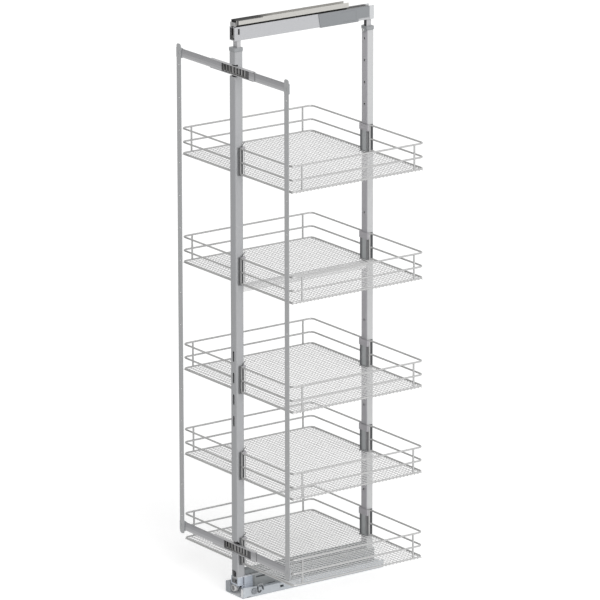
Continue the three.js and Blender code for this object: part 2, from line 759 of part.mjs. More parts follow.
function buildClampScrew(name, seat, side) {
  const start = seat.faceY + side * (seatGap + clampScrewHead / 2);
  const head = cylinder(clampScrew, clampScrewHead, 12, 'y', 0, start, seat.bossZ);
  const shankLength = clampBossHeight + collarWall - 0.2;
  const shankY = seat.faceY - side * (shankLength / 2 - seatGap);
  const shank = cylinder(clampScrew - 3 - 2 * seatGap, shankLength, 8, 'y', 0, shankY, seat.bossZ);
  const socket = cylinder(4.6, 5, 6, 'y', 0, seat.faceY + side * (clampScrewHead + 1.5), seat.bossZ);
  addMesh(name, combine(head, [shank], [socket]), finishes.darkSteel);
}

// ---------------------------------------------------------------- baskets
const floorTopBelowRim = basketRimToFloor - floorThickness / 2;

// Places along Y of a bracket and the hanger before it, from the post's basket side outward.
function bracketPlaces(postY, depth, side) {
  const postSide = postY + side * depth / 2;
  const bracketIn = postSide + side * seatGap;
  const bracketOut = bracketIn + side * bracketWall;
  const hangerIn = bracketOut + side * seatGap;
  return { postSide, bracketIn, bracketOut, hangerIn, hangerOut: hangerIn + side * hangerSheet };
}

// A closed outline in X and Y that works for both ends of the basket.
function outline(points, side) {
  return polygon(side > 0 ? points : [...points].reverse());
}

function buildBracket(name, rim, postY, depth, side) {
  const places = bracketPlaces(postY, depth, side);
  const inside = postWidth / 2 + seatGap;
  const outside = inside + bracketWall;
  const armEnd = places.postSide - side * bracketArm;
  const shape = outline([
    [-outside, armEnd], [-inside, armEnd], [-inside, places.bracketIn], [inside, places.bracketIn],
    [inside, armEnd], [outside, armEnd], [outside, places.bracketOut], [-outside, places.bracketOut],
  ], side);
  const bottom = rim - basketRimToFloor - bracketBelowFloor;
  const geometry = alongZ(shape, bottom, rim + bracketAboveRim);
  // The ledge under the basket's floor carries its load.
  const ledge = places.hangerOut + side * (wire / 2);
  const ledgeTop = rim - basketRimToFloor - floorThickness / 2 - seatGap;
  const shelf = box(-outside, outside, Math.min(places.bracketIn, ledge),
    Math.max(places.bracketIn, ledge), bottom, ledgeTop);
  // The arms beside a cross slide are cut back to clear it.
  const reach = slideOuterHeight / 2 + slideNotchGap;
  const clear = slideHeights.map((height) => box(-outside - 1, outside + 1, postFaceY - 1,
    slideBackY + seatGap, height - reach, height + reach));
  addMesh(name, combine(geometry, [shelf], side > 0 ? clear : []), finishes.bracket);
}

function hangerGeometries(postY, depth, side, wireY) {
  const places = bracketPlaces(postY, depth, side);
  const flangeIn = postWidth / 2 + seatGap + bracketWall + seatGap;
  const flangeOut = flangeIn + hangerSheet;
  const band = outline([
    [-flangeOut, wireY], [-flangeIn, wireY], [-flangeIn, places.hangerIn],
    [flangeIn, places.hangerIn], [flangeIn, wireY], [flangeOut, wireY],
    [flangeOut, places.hangerOut], [-flangeOut, places.hangerOut],
  ], side);
  const bandTop = wire / 2;
  const pieces = [alongZ(band, bandTop - hangerBand, bandTop)];
  const floorTop = -floorTopBelowRim + seatGap;
  pieces.push(box(-hangerTongue / 2, hangerTongue / 2, Math.min(places.hangerIn, places.hangerOut),
    Math.max(places.hangerIn, places.hangerOut), floorTop, bandTop - 1));
  const wireX = flangeOut + wire / 2 - 0.6;
  for (const edge of [1, -1]) {
    pieces.push(cylinder(wire, -floorTop + bandTop - 0.2, 6, 'z', edge * wireX, wireY,
      (floorTop + bandTop - 0.2) / 2));
  }
  return { pieces, wireX };
}

const hangerFrontY = basketFrontY + hangerInsets[0];
const hangerRearY = basketRearY - hangerInsets[1];

// Half of a rail: from one hanger's wire round the basket's side to the other's.
function railPoints(edge, startX, height) {
  const x = basketWidth / 2;
  const points = [
    new THREE.Vector3(edge * startX, hangerFrontY, height),
    new THREE.Vector3(edge * (startX + railJoggle), basketFrontY, height),
  ];
  const corners = [[basketFrontY, 1], [basketRearY, -1]];
  for (const [y, inward] of corners) {
    const turn = [];
    for (let step = 0; step <= 3; step += 1) {
      const angle = (step / 3) * Math.PI / 2;
      turn.push(new THREE.Vector3(
        edge * (x - wireBend + wireBend * Math.sin(angle)),
        y + inward * (wireBend - wireBend * Math.cos(angle)),
        height));
    }
    points.push(...(inward > 0 ? turn : turn.reverse()));
  }
  points.push(new THREE.Vector3(edge * (startX + railJoggle), basketRearY, height));
  points.push(new THREE.Vector3(edge * startX, hangerRearY, height));
  return points;
}

function basketFrameGeometry() {
  const front = hangerGeometries(frontPostY, frontPostDepth, 1, hangerFrontY);
  const rear = hangerGeometries(rearPostY, rearPostDepth, -1, hangerRearY);
  const pieces = [...front.pieces, ...rear.pieces];
  for (const edge of [1, -1]) {
    for (const height of [0, -basketRimToRail]) {
      pieces.push(bentWire(railPoints(edge, front.wireX, height), wire));
    }
    const floorTop = -floorTopBelowRim + seatGap;
    for (const y of [basketFrontY + uprightInset, basketRearY - uprightInset]) {
      pieces.push(cylinder(wire, -floorTop, 6, 'z', edge * basketWidth / 2, y, floorTop / 2));
    }
  }
  return combine(pieces[0], pieces.slice(1));
}

// The floor: a border that leaves room for both brackets, and a mesh inside it.
function basketFloorGeometry() {
  const x = (basketWidth + wire) / 2;
  const y0 = basketFrontY - wire / 2;
  const y1 = basketRearY + wire / 2;
  const front = bracketPlaces(frontPostY, frontPostDepth, 1);
  const rear = bracketPlaces(rearPostY, rearPostDepth, -1);
  const notchX = postWidth / 2 + seatGap + bracketWall + 2 * seatGap;
  const notchFront = front.bracketOut + seatGap;
  const notchRear = rear.bracketOut - seatGap;
  const bend = wireBend;
  const shape = new THREE.Shape();
  shape.moveTo(-x + bend, y0);
  shape.lineTo(-notchX, y0);
  shape.lineTo(-notchX, notchFront);
  shape.lineTo(notchX, notchFront);
  shape.lineTo(notchX, y0);
  shape.lineTo(x - bend, y0);
  shape.absarc(x - bend, y0 + bend, bend, -Math.PI / 2, 0);
  shape.lineTo(x, y1 - bend);
  shape.absarc(x - bend, y1 - bend, bend, 0, Math.PI / 2);
  shape.lineTo(notchX, y1);
  shape.lineTo(notchX, notchRear);
  shape.lineTo(-notchX, notchRear);
  shape.lineTo(-notchX, y1);
  shape.lineTo(-x + bend, y1);
  shape.absarc(-x + bend, y1 - bend, bend, Math.PI / 2, Math.PI);
  shape.lineTo(-x, y0 + bend);
  shape.absarc(-x + bend, y0 + bend, bend, Math.PI, Math.PI * 1.5);

  // The mesh's openings lie in a field between the two notches and the side borders.
  const fieldX = x - floorBorder;
  const fieldFront = notchFront + hangerSheet + seatGap + wire;
  const fieldRear = notchRear - hangerSheet - seatGap - wire;
  const pitchX = (2 * fieldX + meshRib) / meshColumns;
  const pitchY = (fieldRear - fieldFront + meshRib) / meshRows;
  const openings = [];
  for (let column = 0; column < meshColumns; column += 1) {
    for (let row = 0; row < meshRows; row += 1) {
      const left = -fieldX + column * pitchX;
      const right = left + pitchX - meshRib;
      let low = fieldFront + row * pitchY;
      let high = low + pitchY - meshRib;
      const beside = Math.min(Math.abs(left), Math.abs(right)) > notchX + floorBorder
        && left * right > 0;
      if (beside && row === 0) low = y0 + floorBorder;
      if (beside && row === meshRows - 1) high = y1 - floorBorder;
      openings.push(box(left, right, low, high, -floorThickness, floorThickness));
    }
  }
  const plate = alongZ(shape, -floorThickness / 2, floorThickness / 2, 2);
  return combine(plate, [], openings);
}

function buildBaskets() {
  const frame = basketFrameGeometry();
  const floor = basketFloorGeometry();
  rimHeights.forEach((rim, index) => {
    const number = index + 1;
    addMesh(`basket_${number}_frame`, frame.clone().translate(0, 0, rim), finishes.wire);
    addMesh(`basket_${number}_floor`,
      floor.clone().translate(0, 0, rim - basketRimToFloor), finishes.wire);
    buildBracket(`bracket_${number}_front`, rim, frontPostY, frontPostDepth, 1);
    buildBracket(`bracket_${number}_rear`, rim, rearPostY, rearPostDepth, -1);
  });
}

// ---------------------------------------------------------------- cross slides and door bars
// Sections lie across Y and Z, and open towards the door.
function slideOuterShape(height) {
  const half = slideOuterHeight / 2;
  const front = slideFrontY;
  const back = slideBackY;
  const sheet = slideSheet;
  return polygon([
    [front, height - half], [back, height - half], [back, height + half], [front, height + half],
    [front, height + half - sheet - slideLip], [front + 1, height + half - sheet - slideLip],
    [front + 1, height + half - sheet], [back - sheet, height + half - sheet],
    [back - sheet, height - half + sheet], [front + 1, height - half + sheet],
    [front + 1, height - half + sheet + slideLip], [front, height - half + sheet + slideLip],
  ]);
}

// The inner member's flanges run behind the outer member's lips.
const slideInnerFront = slideFrontY;
const slideInnerFace = slideOuterHeight / 2 - slideSheet - slideLip - seatGap;
const slideInnerHalf = slideOuterHeight / 2 - slideSheet - seatGap;

function slideInnerShape(height) {
  const front = slideInnerFront;
  const back = front + slideInnerDepth;
  const step = front + 1 + seatGap;
  const sheet = slideInnerSheet;
  const face = slideInnerFace;
  const half = slideInnerHalf;
  return polygon([
    [front, height - face], [step, height - face], [step, height - half], [back, height - half],
    [back, height - half + sheet], [front + sheet, height - half + sheet],
    [front + sheet, height + half - sheet], [back, height + half - sheet],
    [back, height + half], [step, height + half], [step, height + face], [front, height + face],
  ]);
}

// The cage holds the slide's balls between upright windows.
function buildCage(name, height) {
  const back = slideBackY - slideSheet - seatGap;
  const front = back - cageSheet;
  const half = slideOuterHeight / 2 - slideSheet - seatGap;
  const plate = box(-cageLength / 2, cageLength / 2, front, back, height - half, height + half);
  const count = Math.floor((leftInnerEnd + rightInnerEnd - stopLength) / cagePitch);
  const start = (rightInnerEnd - leftInnerEnd - stopLength - (count - 1) * cagePitch) / 2;
  const windows = [];
  for (let index = 0; index < count; index += 1) {
    const middle = start + index * cagePitch;
    windows.push(box(middle - cageWindow / 2, middle + cageWindow / 2, front - 1, back + 1,
      height - cageWindowHeight / 2, height + cageWindowHeight / 2));
  }
  addMesh(name, combine(plate, [], windows), finishes.cage);
}

// A saddle clips over the bar's edges, with a block on the inboard side that holds the slide.
function buildSaddle(name, side, height) {
  const halfBar = barWidth / 2;
  const inside = halfBar + seatGap;
  const outside = inside + saddleWall;
  const back = slideInnerFront + slideInnerDepth;
  const front = barFaceY + 0.2;
  const floorFront = slideInnerFront;
  const plateBack = floorFront + saddlePlate;
  const tongueHalf = slideInnerHalf - slideInnerSheet - seatGap;
  const inward = -side;
  const shape = polygon([
    [-outside, front], [-inside, front], [-inside, floorFront], [inside, floorFront],
    [inside, front], [outside, front], [outside, back], [-saddleBlockEdge, back],
    [-saddleBlockEdge, plateBack], [-outside, plateBack],
  ].map(([x, y]) => [inward * x, y]));
  const clip = alongZ(shape, height - saddleHeight / 2, height + saddleHeight / 2);
  const tongueStart = inward * (outside - 1);
  const tongueEnd = inward * (outside + tongueLength);
  const tongue = box(Math.min(tongueStart, tongueEnd), Math.max(tongueStart, tongueEnd),
    slideInnerFront + slideInnerSheet + seatGap, back, height - tongueHalf, height + tongueHalf);
  const stud = alongY(
    obround(barStudLength - 2 * seatGap, barStudWidth - 2 * seatGap, 0, height, new THREE.Shape()),
    barFaceY + 0.2, floorFront + 1, 4);
  const geometry = combine(clip, [tongue, stud]);
  addMesh(name, geometry.translate(side * barX, 0, 0), finishes.slide);
}

function buildDoorBar(name, side) {
  const length = barTop - barBottom;
  const shape = roundedRectangle(barWidth, length, barCorner);
  const middle = (barTop + barBottom) / 2;
  for (let z = barBottom + barFirstHole; z < barTop - 10; z += barHolePitch) {
    const clash = slideHeights.some((height) => Math.abs(height - z) < saddleHeight / 2 + barHole);
    if (!clash) {
      const hole = new THREE.Path();
      for (let step = 0; step < 6; step += 1) {
        const angle = (-step / 6) * Math.PI * 2;
        const point = [Math.cos(angle) * barHole / 2, z - middle + Math.sin(angle) * barHole / 2];
        if (step === 0) hole.moveTo(...point);
        else hole.lineTo(...point);
      }
      hole.closePath();
      shape.holes.push(hole);
    }
  }
  for (const height of slideHeights) {
    shape.holes.push(obround(barStudLength, barStudWidth, 0, height - middle));
  }
  const geometry = alongY(shape, barFaceY, barFaceY + barThickness, 3);
  addMesh(name, geometry.translate(side * barX, 0, middle), finishes.bar);
}

function buildCrossSlides() {
  slideHeights.forEach((height, index) => {
    const level = index === 0 ? 'top' : 'bottom';
    addMesh(`${level}_slide_outer`,
      alongX(slideOuterShape(height), ...slideOuterEnds), finishes.slide);
    buildCage(`${level}_slide_cage`, height);
    const saddleEdge = barX - barWidth / 2 - seatGap - saddleWall - seatGap;
    addMesh(`${level}_slide_left`,
      alongX(slideInnerShape(height), -saddleEdge, -leftInnerEnd), finishes.slide);
    addMesh(`${level}_slide_right`,
      alongX(slideInnerShape(height), rightInnerEnd, saddleEdge), finishes.slide);
    const stopHalf = slideInnerFace - 0.5;
    const stop = box(rightInnerEnd - seatGap - stopLength, rightInnerEnd - seatGap,
      slideInnerFront, slideInnerFront + slideInnerDepth, height - stopHalf, height + stopHalf);
    addMesh(`${level}_slide_stop`, stop, finishes.cage);
    buildSaddle(`${level}_saddle_left`, -1, height);
    buildSaddle(`${level}_saddle_right`, 1, height);
  });
  buildDoorBar('door_bar_left', -1);
  buildDoorBar('door_bar_right', 1);
}

// ---------------------------------------------------------------- top beam and rail
const topMemberWidth = beamWidth - 2 * beamSheet - 2 * slideGap;
const topMemberBottom = beamBottom + beamSheet + slideGap;
const topMemberHeight = beamTop - beamSheet - slideGap - topMemberBottom;
const stemBulb = topMemberWidth - 2 * topMemberSheet - 2 * slideGap;
const beamLip = (beamWidth - topRailStem) / 2 - beamSheet - slideGap;
const topMemberLip = (topMemberWidth - topRailStem) / 2 - topMemberSheet - slideGap;

function buildBeam() {
  const profile = lippedChannel(beamWidth, beamBottom, beamHeight, beamSheet, beamLip);
  const body = alongY(profile, beamFrontY, beamFrontY + beamLength);
  const x = beamWidth / 2;
  const y = beamFrontY + beamSlotSetback;
  const z = beamBottom + beamSlotRise;
  const slot = box(x - beamSheet - 0.4, x + 1, y, y + beamSlotWidth,
    z - beamSlotHeight / 2, z + beamSlotHeight / 2);
  addMesh('top_beam', combine(body, [], [slot]), finishes.beam);
}

function buildTopMember() {
  const profile = lippedChannel(topMemberWidth, topMemberBottom, topMemberHeight,
    topMemberSheet, topMemberLip);
  const front = beamFrontY + 3;
  addMesh('top_member', alongY(profile, front, front + topMemberLength), finishes.darkSteel);
}

// The rail is a channel, screwed up under the cabinet top, on a stem with a bulb.
function buildTopRail() {
  const x = topRailWidth / 2;
  const sheet = topRailSheet;
  const top = topRailBottom + topRailHeight;
  const stem = topRailStem / 2;
  const bulb = stemBulb / 2;
  const bulbBottom = topMemberBottom + topMemberSheet + slideGap;
  const bulbTop = bulbBottom + 8;
  const profile = polygon([
    [-bulb, bulbBottom], [bulb, bulbBottom], [bulb, bulbTop], [stem, bulbTop],
    [stem, topRailBottom], [x, topRailBottom], [x, top], [x - sheet, top],
    [x - sheet, topRailBottom + sheet], [-x + sheet, topRailBottom + sheet], [-x + sheet, top],
    [-x, top], [-x, topRailBottom], [-stem, topRailBottom], [-stem, bulbTop], [-bulb, bulbTop],
  ]);
  const geometry = alongY(profile, topRailFrontY, topRailFrontY + topRailLength);
  addMesh('top_rail', geometry, finishes.beam);
}

// The damper's cover wraps the beam's rear part; its side view is cut from the wrapped section.
function buildCover() {
  const inside = beamWidth / 2 + seatGap;
  const outside = inside + coverWall;
  const bottom = beamBottom - coverBelowBeam;
  const floor = beamBottom - seatGap;
  const profile = polygon([
    [-outside, bottom], [outside, bottom], [outside, beamTop], [inside, beamTop], [inside, floor],
    [-inside, floor], [-inside, beamTop], [-outside, beamTop],
  ]);
  const y0 = beamFrontY + coverStart;
  const y1 = beamFrontY + beamLength;
  const body = alongY(profile, y0 - coverSlant, y1);
  const lean = polygon([
    [y0 - coverSlant - 1, beamTop + 1], [y0 - coverSlant - 1, bottom - 1], [y0, bottom - 1],
    [y0 - coverSlant, beamTop + 1],
  ]);
  const step = polygon([
    [y1 - coverStep, bottom - 1], [y1 + 1, bottom - 1], [y1 + 1, bottom + coverStepHeight],
    [y1 - coverStep, bottom + coverStepHeight],
  ]);
  const panelLow = bottom + panelEdge;
  const panelTop = beamTop - panelEdge;
  const panelEnd = y1 - panelRear;
  const panelLean = coverSlant * (panelTop - panelLow) / (beamTop - bottom);
  const panel = alongX(polygon([
    [panelEnd - panelLength, panelLow], [panelEnd, panelLow], [panelEnd, panelTop],
    [panelEnd - panelLength - panelLean, panelTop],
  ]), outside - panelDepth, outside + 1);
  const cuts = [alongX(lean, -outside - 1, outside + 1), alongX(step, -outside - 1, outside + 1)];
  addMesh('damper_cover', combine(body, [], [...cuts, panel]), finishes.cover);
}

// The end plate is bolted to the beam's end and stands on the rear tube. The beam's inner members
// run on through it.
function buildEndPlate() {
  const x = endPlateWidth / 2;
  const y0 = beamFrontY + beamLength + seatGap;
  const block = box(-x, x, y0, y0 + endPlate, beamBottom, beamTop);
  const inside = beamWidth / 2 - beamSheet;
  const run = box(-inside, inside, y0 - 1, y0 + endPlate + 1, beamBottom + beamSheet, beamTop + 1);
  addMesh('beam_end_plate', combine(block, [], [run]), finishes.white);
}

// ---------------------------------------------------------------- assembly
buildRunner();
const leftCapWidth = runnerWidth / 2 - ribX - 2 * runnerSheet - 2 * seatGap;
buildRunnerCap('runner_cap_left', -1, leftCapWidth, leftCapHeight);
buildRunnerCap('runner_cap_right', 1, rightCapWidth, rightCapHeight);
buildBuffer();
buildKnob();
buildLatch();
buildRunnerMember();
buildCarriage();
buildShoe();
buildTie('foot_tie', carriageTop + tieClearance, tieHeight, finishes.darkSteel);
buildTie('mid_tie', midTieBottom, midTieHeight, finishes.post);
buildPost('front_post', frontPostY, frontPostDepth, true);
buildPost('rear_post', rearPostY, rearPostDepth, false);
const frontTubeY = frontPostY + frontTubeSetback;
const rearTubeY = rearPostY + rearTubeSetback;
buildTube('front_tube', frontTubeWidth, frontTubeDepth, frontTubeY);
buildTube('rear_tube', rearTubeWidth, rearTubeDepth, rearTubeY);
const frontSeat = buildCollar('front_collar', frontPostY, frontPostDepth,
  { width: frontTubeWidth, depth: frontTubeDepth, y: frontTubeY }, 1);
const rearSeat = buildCollar('rear_collar', rearPostY, rearPostDepth,
  { width: rearTubeWidth, depth: rearTubeDepth, y: rearTubeY }, -1);
buildClampScrew('front_clamp_screw', frontSeat, 1);
buildClampScrew('rear_clamp_screw', rearSeat, -1);
buildBaskets();
buildCrossSlides();
buildBeam();
buildTopMember();
buildTopRail();
buildCover();
buildEndPlate();

export default unit;
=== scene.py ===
import json
import math

import bpy
from mathutils import Matrix, Vector


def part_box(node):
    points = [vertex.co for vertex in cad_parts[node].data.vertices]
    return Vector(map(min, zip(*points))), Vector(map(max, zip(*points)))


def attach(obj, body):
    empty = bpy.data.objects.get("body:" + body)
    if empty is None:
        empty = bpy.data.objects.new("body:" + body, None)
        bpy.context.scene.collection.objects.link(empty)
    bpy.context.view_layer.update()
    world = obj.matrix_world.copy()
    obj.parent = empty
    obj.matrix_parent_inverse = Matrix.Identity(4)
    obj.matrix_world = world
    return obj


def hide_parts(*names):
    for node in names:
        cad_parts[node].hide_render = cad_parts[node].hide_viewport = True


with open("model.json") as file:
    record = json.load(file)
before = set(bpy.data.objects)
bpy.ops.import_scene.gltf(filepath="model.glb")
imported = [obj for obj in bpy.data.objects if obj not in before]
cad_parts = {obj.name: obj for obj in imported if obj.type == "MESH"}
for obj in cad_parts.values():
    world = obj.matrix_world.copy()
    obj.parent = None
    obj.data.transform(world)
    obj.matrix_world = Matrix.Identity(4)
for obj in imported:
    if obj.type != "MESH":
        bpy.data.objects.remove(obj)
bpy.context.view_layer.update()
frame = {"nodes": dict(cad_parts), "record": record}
nodes = frame["nodes"]
slotOf = {part["node"]: part["material_slot"] for part in frame["record"]["subparts"]}
print("larder unit: frame loaded,", len(nodes), "parts")

view = {
    "target": (0.0, -0.0029, 0.8402),
    "azimuth": 54.53,
    "elevation": 15.88,
    "distance": 17.1086,
    "lens": 359.5,
    "sensor": 36.0,
    "shift": (-0.00647, 0.00013),
    "roll": -0.08,
    "clip": (0.5, 200),
}

azimuth, elevation = math.radians(view["azimuth"]), math.radians(view["elevation"])
back = Vector((math.sin(azimuth) * math.cos(elevation),
               -math.cos(azimuth) * math.cos(elevation), math.sin(elevation)))
cameraData = bpy.data.cameras.new("camera")
cameraData.lens = view["lens"]
cameraData.sensor_width = view["sensor"]
cameraData.shift_x, cameraData.shift_y = view["shift"]
cameraData.clip_start, cameraData.clip_end = view["clip"]
camera = bpy.data.objects.new("camera", cameraData)
camera.rotation_mode = "QUATERNION"
camera.location = Vector(view["target"]) + back * view["distance"]
turn = Matrix.Rotation(math.radians(view["roll"]), 3, "Z").to_quaternion()
camera.rotation_quaternion = (-back).to_track_quat("-Z", "Y") @ turn
bpy.context.scene.collection.objects.link(camera)
bpy.context.scene.camera = camera

light = {
    "ambient": 0.42,
    "keyFrom": (0.80, -0.16, 0.62),
    "keyReach": 4,
    "keyStrength": 2.4,
    "keyAngle": 55,
    "floorColour": (0.62, 0.62, 0.62),
    "floorRoughness": 0.9,
    "floorLift": 0.56,
    "floorBounce": (0.35, 0.35, 0.35),
    "floorHalf": 40,
    "floorDrop": 0.0006,
}

keyFrom = Vector(light["keyFrom"])
lampData = bpy.data.lights.new("keyLamp", "SUN")
lampData.energy = light["keyStrength"]
lampData.angle = math.radians(light["keyAngle"])
lamp = bpy.data.objects.new("keyLamp", lampData)
lamp.rotation_mode = "QUATERNION"
lamp.rotation_quaternion = keyFrom.to_track_quat("Z", "Y")
lamp.location = keyFrom * light["keyReach"]
bpy.context.scene.collection.objects.link(lamp)


# A socket that can be reckoned with like a number.
class Value:
    def __init__(self, tree, socket):
        self.tree, self.socket = tree, socket

    def maths(self, operation, first, second=0.0):
        return self.tree.add("ShaderNodeMath", {"operation": operation}, {0: first, 1: second})

    def __add__(self, other):
        return self.maths("ADD", self, other)

    def __radd__(self, other):
        return self.maths("ADD", other, self)

    def __sub__(self, other):
        return self.maths("SUBTRACT", self, other)

    def __rsub__(self, other):
        return self.maths("SUBTRACT", other, self)

    def __mul__(self, other):
        return self.maths("MULTIPLY", self, other)

    def __rmul__(self, other):
        return self.maths("MULTIPLY", other, self)

    def __gt__(self, other):
        return self.maths("GREATER_THAN", self, other)

    def __lt__(self, other):
        return self.maths("LESS_THAN", self, other)

    def __abs__(self):
        return self.maths("ABSOLUTE", self)

    def greater(self, other):
        return self.maths("MAXIMUM", self, other)

    # How far along each step of the given length, from 0 to 1.
    def repeated(self, length):
        return self.maths("FRACT", self * (1 / length))

    # 0 at the first place and 1 at the second, held beyond them.
    def between(self, first, second):
        return self.tree.add("ShaderNodeMapRange", None,
                             {"Value": self, "From Min": first, "From Max": second})


class Tree:
    def __init__(self, owner):
        owner.use_nodes = True
        self.tree = owner.node_tree
        self.tree.nodes.clear()

    # One node: its settings first, then the values or links of its sockets. Gives one output.
    def add(self, kind, settings=None, sockets=None, output=0):
        node = self.tree.nodes.new(kind)
        for key, value in (settings or {}).items():
            if key == "stops":
                ramp = node.color_ramp
                ramp.elements.remove(ramp.elements[1])
                for place, shade in value[1:]:
                    ramp.elements.new(place).color = (shade, shade, shade, 1)
                first = ramp.elements[0]
                first.position, first.color = value[0][0], (*[value[0][1]] * 3, 1)
            else:
                setattr(node, key, value)
        for key, value in (sockets or {}).items():
            socket = node.inputs[key]
            if isinstance(value, Value):
                self.tree.links.new(value.socket, socket)
            elif hasattr(value, "__len__") and len(value) == 3 and socket.type == "RGBA":
                socket.default_value = (*value, 1)
            else:
                socket.default_value = value
        return Value(self, node.outputs[output]) if node.outputs else node

    def mixColour(self, factor, first, second):
        return self.add("ShaderNodeMix", {"data_type": "RGBA"},
                        {0: factor, 6: first, 7: second}, output=2)

    def parts(self, vector):
        node = self.add("ShaderNodeSeparateXYZ", None, {"Vector": vector}).socket.node
        return [Value(self, out) for out in node.outputs]

    # The place on the object in metres, the place as shares of its box, and the way a face looks.
    def place(self):
        return self.parts(self.add("ShaderNodeTexCoord", output=3))

    def share(self):
        return self.parts(self.add("ShaderNodeTexCoord", output=0))

    def facing(self):
        return self.parts(self.add("ShaderNodeTexCoord", output=1))


def seenDirectly(tree):
    node = tree.add("ShaderNodeLightPath").socket.node
    rays = [Value(tree, node.outputs[name])
            for name in ("Is Camera Ray", "Is Glossy Ray", "Is Transmission Ray")]
    return rays[0] + rays[1] + rays[2]


world = bpy.data.worlds.new("studio")
bpy.context.scene.world = world
sky = Tree(world)
strength = seenDirectly(sky) * (1 - light["ambient"]) + light["ambient"]
background = sky.add("ShaderNodeBackground", None, {"Color": (1, 1, 1), "Strength": strength})
sky.add("ShaderNodeOutputWorld", None, {"Surface": background})


def newMaterial(name):
    material = bpy.data.materials.new(name)
    return material, Tree(material)


def finishMaterial(tree, sockets):
    shader = tree.add("ShaderNodeBsdfPrincipled", None, sockets)
    tree.add("ShaderNodeOutputMaterial", None, {"Surface": shader})


floorMaterial, floorTree = newMaterial("studioFloor")
finishMaterial(floorTree, {
    "Base Color": light["floorColour"],
    "Roughness": light["floorRoughness"],
    "Specular IOR Level": 0.0,
    "Emission Color": floorTree.mixColour(seenDirectly(floorTree), light["floorBounce"], (1, 1, 1)),
    "Emission Strength": light["floorLift"],
})
half = light["floorHalf"]
floorMesh = bpy.data.meshes.new("studioFloor")
floorMesh.from_pydata([(-half, -half, 0), (half, -half, 0), (half, half, 0), (-half, half, 0)],
                      [], [(0, 1, 2, 3)])
floorMesh.materials.append(floorMaterial)
floor = bpy.data.objects.new("studioFloor", floorMesh)
floor.location.z = -light["floorDrop"]
bpy.context.scene.collection.objects.link(floor)
bpy.context.scene.view_settings.view_transform = "Standard"
print("larder unit: camera, light and floor")

# What all finishes share: sizes of the two noises and how far they change a surface.
surface = {
    "cloud": 9,
    "speckle": 900,
    "cloudShare": 0.7,
    "detail": 3.0,
    "noiseRoughness": 0.55,
    "roughnessSpan": 0.12,
    "bumpDepth": 0.00004,
    "bumpStrength": 0.5,
}
# How the cloudy noise is drawn out.
even, upright, lengthwise = (1, 1, 1), (1, 1, 0.08), (1, 0.05, 1)


def grain(tree, scale, stretch):
    place = tree.add("ShaderNodeTexCoord", output=3)
    mapped = tree.add("ShaderNodeMapping", None, {"Vector": place, "Scale": stretch})
    return tree.add("ShaderNodeTexNoise", None, {
        "Vector": mapped, "Scale": scale, "Detail": surface["detail"],
        "Roughness": surface["noiseRoughness"]})


# A finish with a cloudy tone and a fine speckle. Each layer is a colour and the maths of where
# it lies over those before it.
def lacquer(name, colour, roughness=0.42, metallic=0.25, tone=0.06, along=upright, layers=(),
            specular=0.5):
    material, tree = newMaterial(name)
    cloudy = grain(tree, surface["cloud"], along)
    speckle = grain(tree, surface["speckle"], even)
    shade = cloudy * surface["cloudShare"] + speckle * (1 - surface["cloudShare"])

    def toned(base):
        dark = tuple(c * (1 - tone) for c in base)
        lighter = tuple(min(c * (1 + tone), 1) for c in base)
        return tree.mixColour(shade, dark, lighter)

    mixed = toned(colour)
    for second, where in layers:
        mixed = tree.mixColour(where(tree), mixed, toned(second))
    span = surface["roughnessSpan"]
    bump = tree.add("ShaderNodeBump", None, {
        "Height": speckle, "Distance": surface["bumpDepth"], "Strength": surface["bumpStrength"]})
    finishMaterial(tree, {
        "Base Color": mixed,
        "Roughness": roughness - span / 2 + span * cloudy,
        "Metallic": metallic,
        "Specular IOR Level": specular,
        "Normal": bump,
    })
    return material


def plastic(name, colour, tone, roughness=0.5, layers=(), specular=0.5):
    return lacquer(name, colour, roughness, 0.0, tone, even, layers, specular)


def zinc(name, colour, layers):
    return lacquer(name, colour, 0.35, 0.4, layers=layers)


def steel(name, colour, layers=(), tone=0.06):
    return lacquer(name, colour, 0.45, 0.3, tone, layers=layers)


def sheetSteel(name, colour, layers=()):
    return lacquer(name, colour, 0.4, 0.3, 0.05, even, layers)


def extrusion(name, colour, layers):
    return lacquer(name, colour, 0.38, 0.3, 0.04, lengthwise, layers)


def bright(name, colour, layers=()):
    return lacquer(name, colour, 0.3, 0.4, 0.05, even, layers)


# Painted reflection and shade on the basket wires: the less a face looks along X, the darker it is
# painted.
def acrossX(tree):
    return 1 - abs(tree.facing()[0])


def rightward(tree):
    return tree.facing()[0] > 0.5


def doorward(tree):
    return tree.facing()[1] < -0.5


def upward(tree):
    return tree.facing()[2] > 0.5


def inside(value, limits):
    return (value > limits[0]) * (value < limits[1])


# 1 inside a rectangle on the faces that look to the right, given as y0, y1, z0 and z1.
def patch(tree, limits):
    x, y, z = tree.place()
    return rightward(tree) * inside(y, limits[:2]) * inside(z, limits[2:])


# Each piece's painted light and shade, and its other marks, lie where its dictionary says, in
# metres. A shade is a share.
runnerMark = {
    "hole": (-0.1207, -0.095, 0.003, 0.0155),
    "holeRight": 0.035,
    "foot": (-0.237, -0.222, -1, 0.0042),
    "footShade": 0.8,
    "floorTop": 0.006,
}


# Painted shade: the faces seen through the runner wall's hole are painted dark, and so is a patch
# at the foot.
def runnerPaintedShade(tree):
    behindHole = patch(tree, runnerMark["hole"]) * (tree.place()[0] < runnerMark["holeRight"])
    return behindHole + runnerMark["footShade"] * patch(tree, runnerMark["foot"])


# Painted light: the runner's floor is painted lighter on its top faces, against the shade that
# falls on it.
def trayFloorPaintedLight(tree):
    return upward(tree) * (tree.place()[2] < runnerMark["floorTop"])


carriageMark = {
    "slot": (-0.187, -0.156, 0.0472, 0.0518),
    "groove": (-0.146, -0.121, 0.0192, 0.0240),
    "grooveShade": 0.6,
    "frontEnd": -0.191,
    "frontShade": 0.32,
}


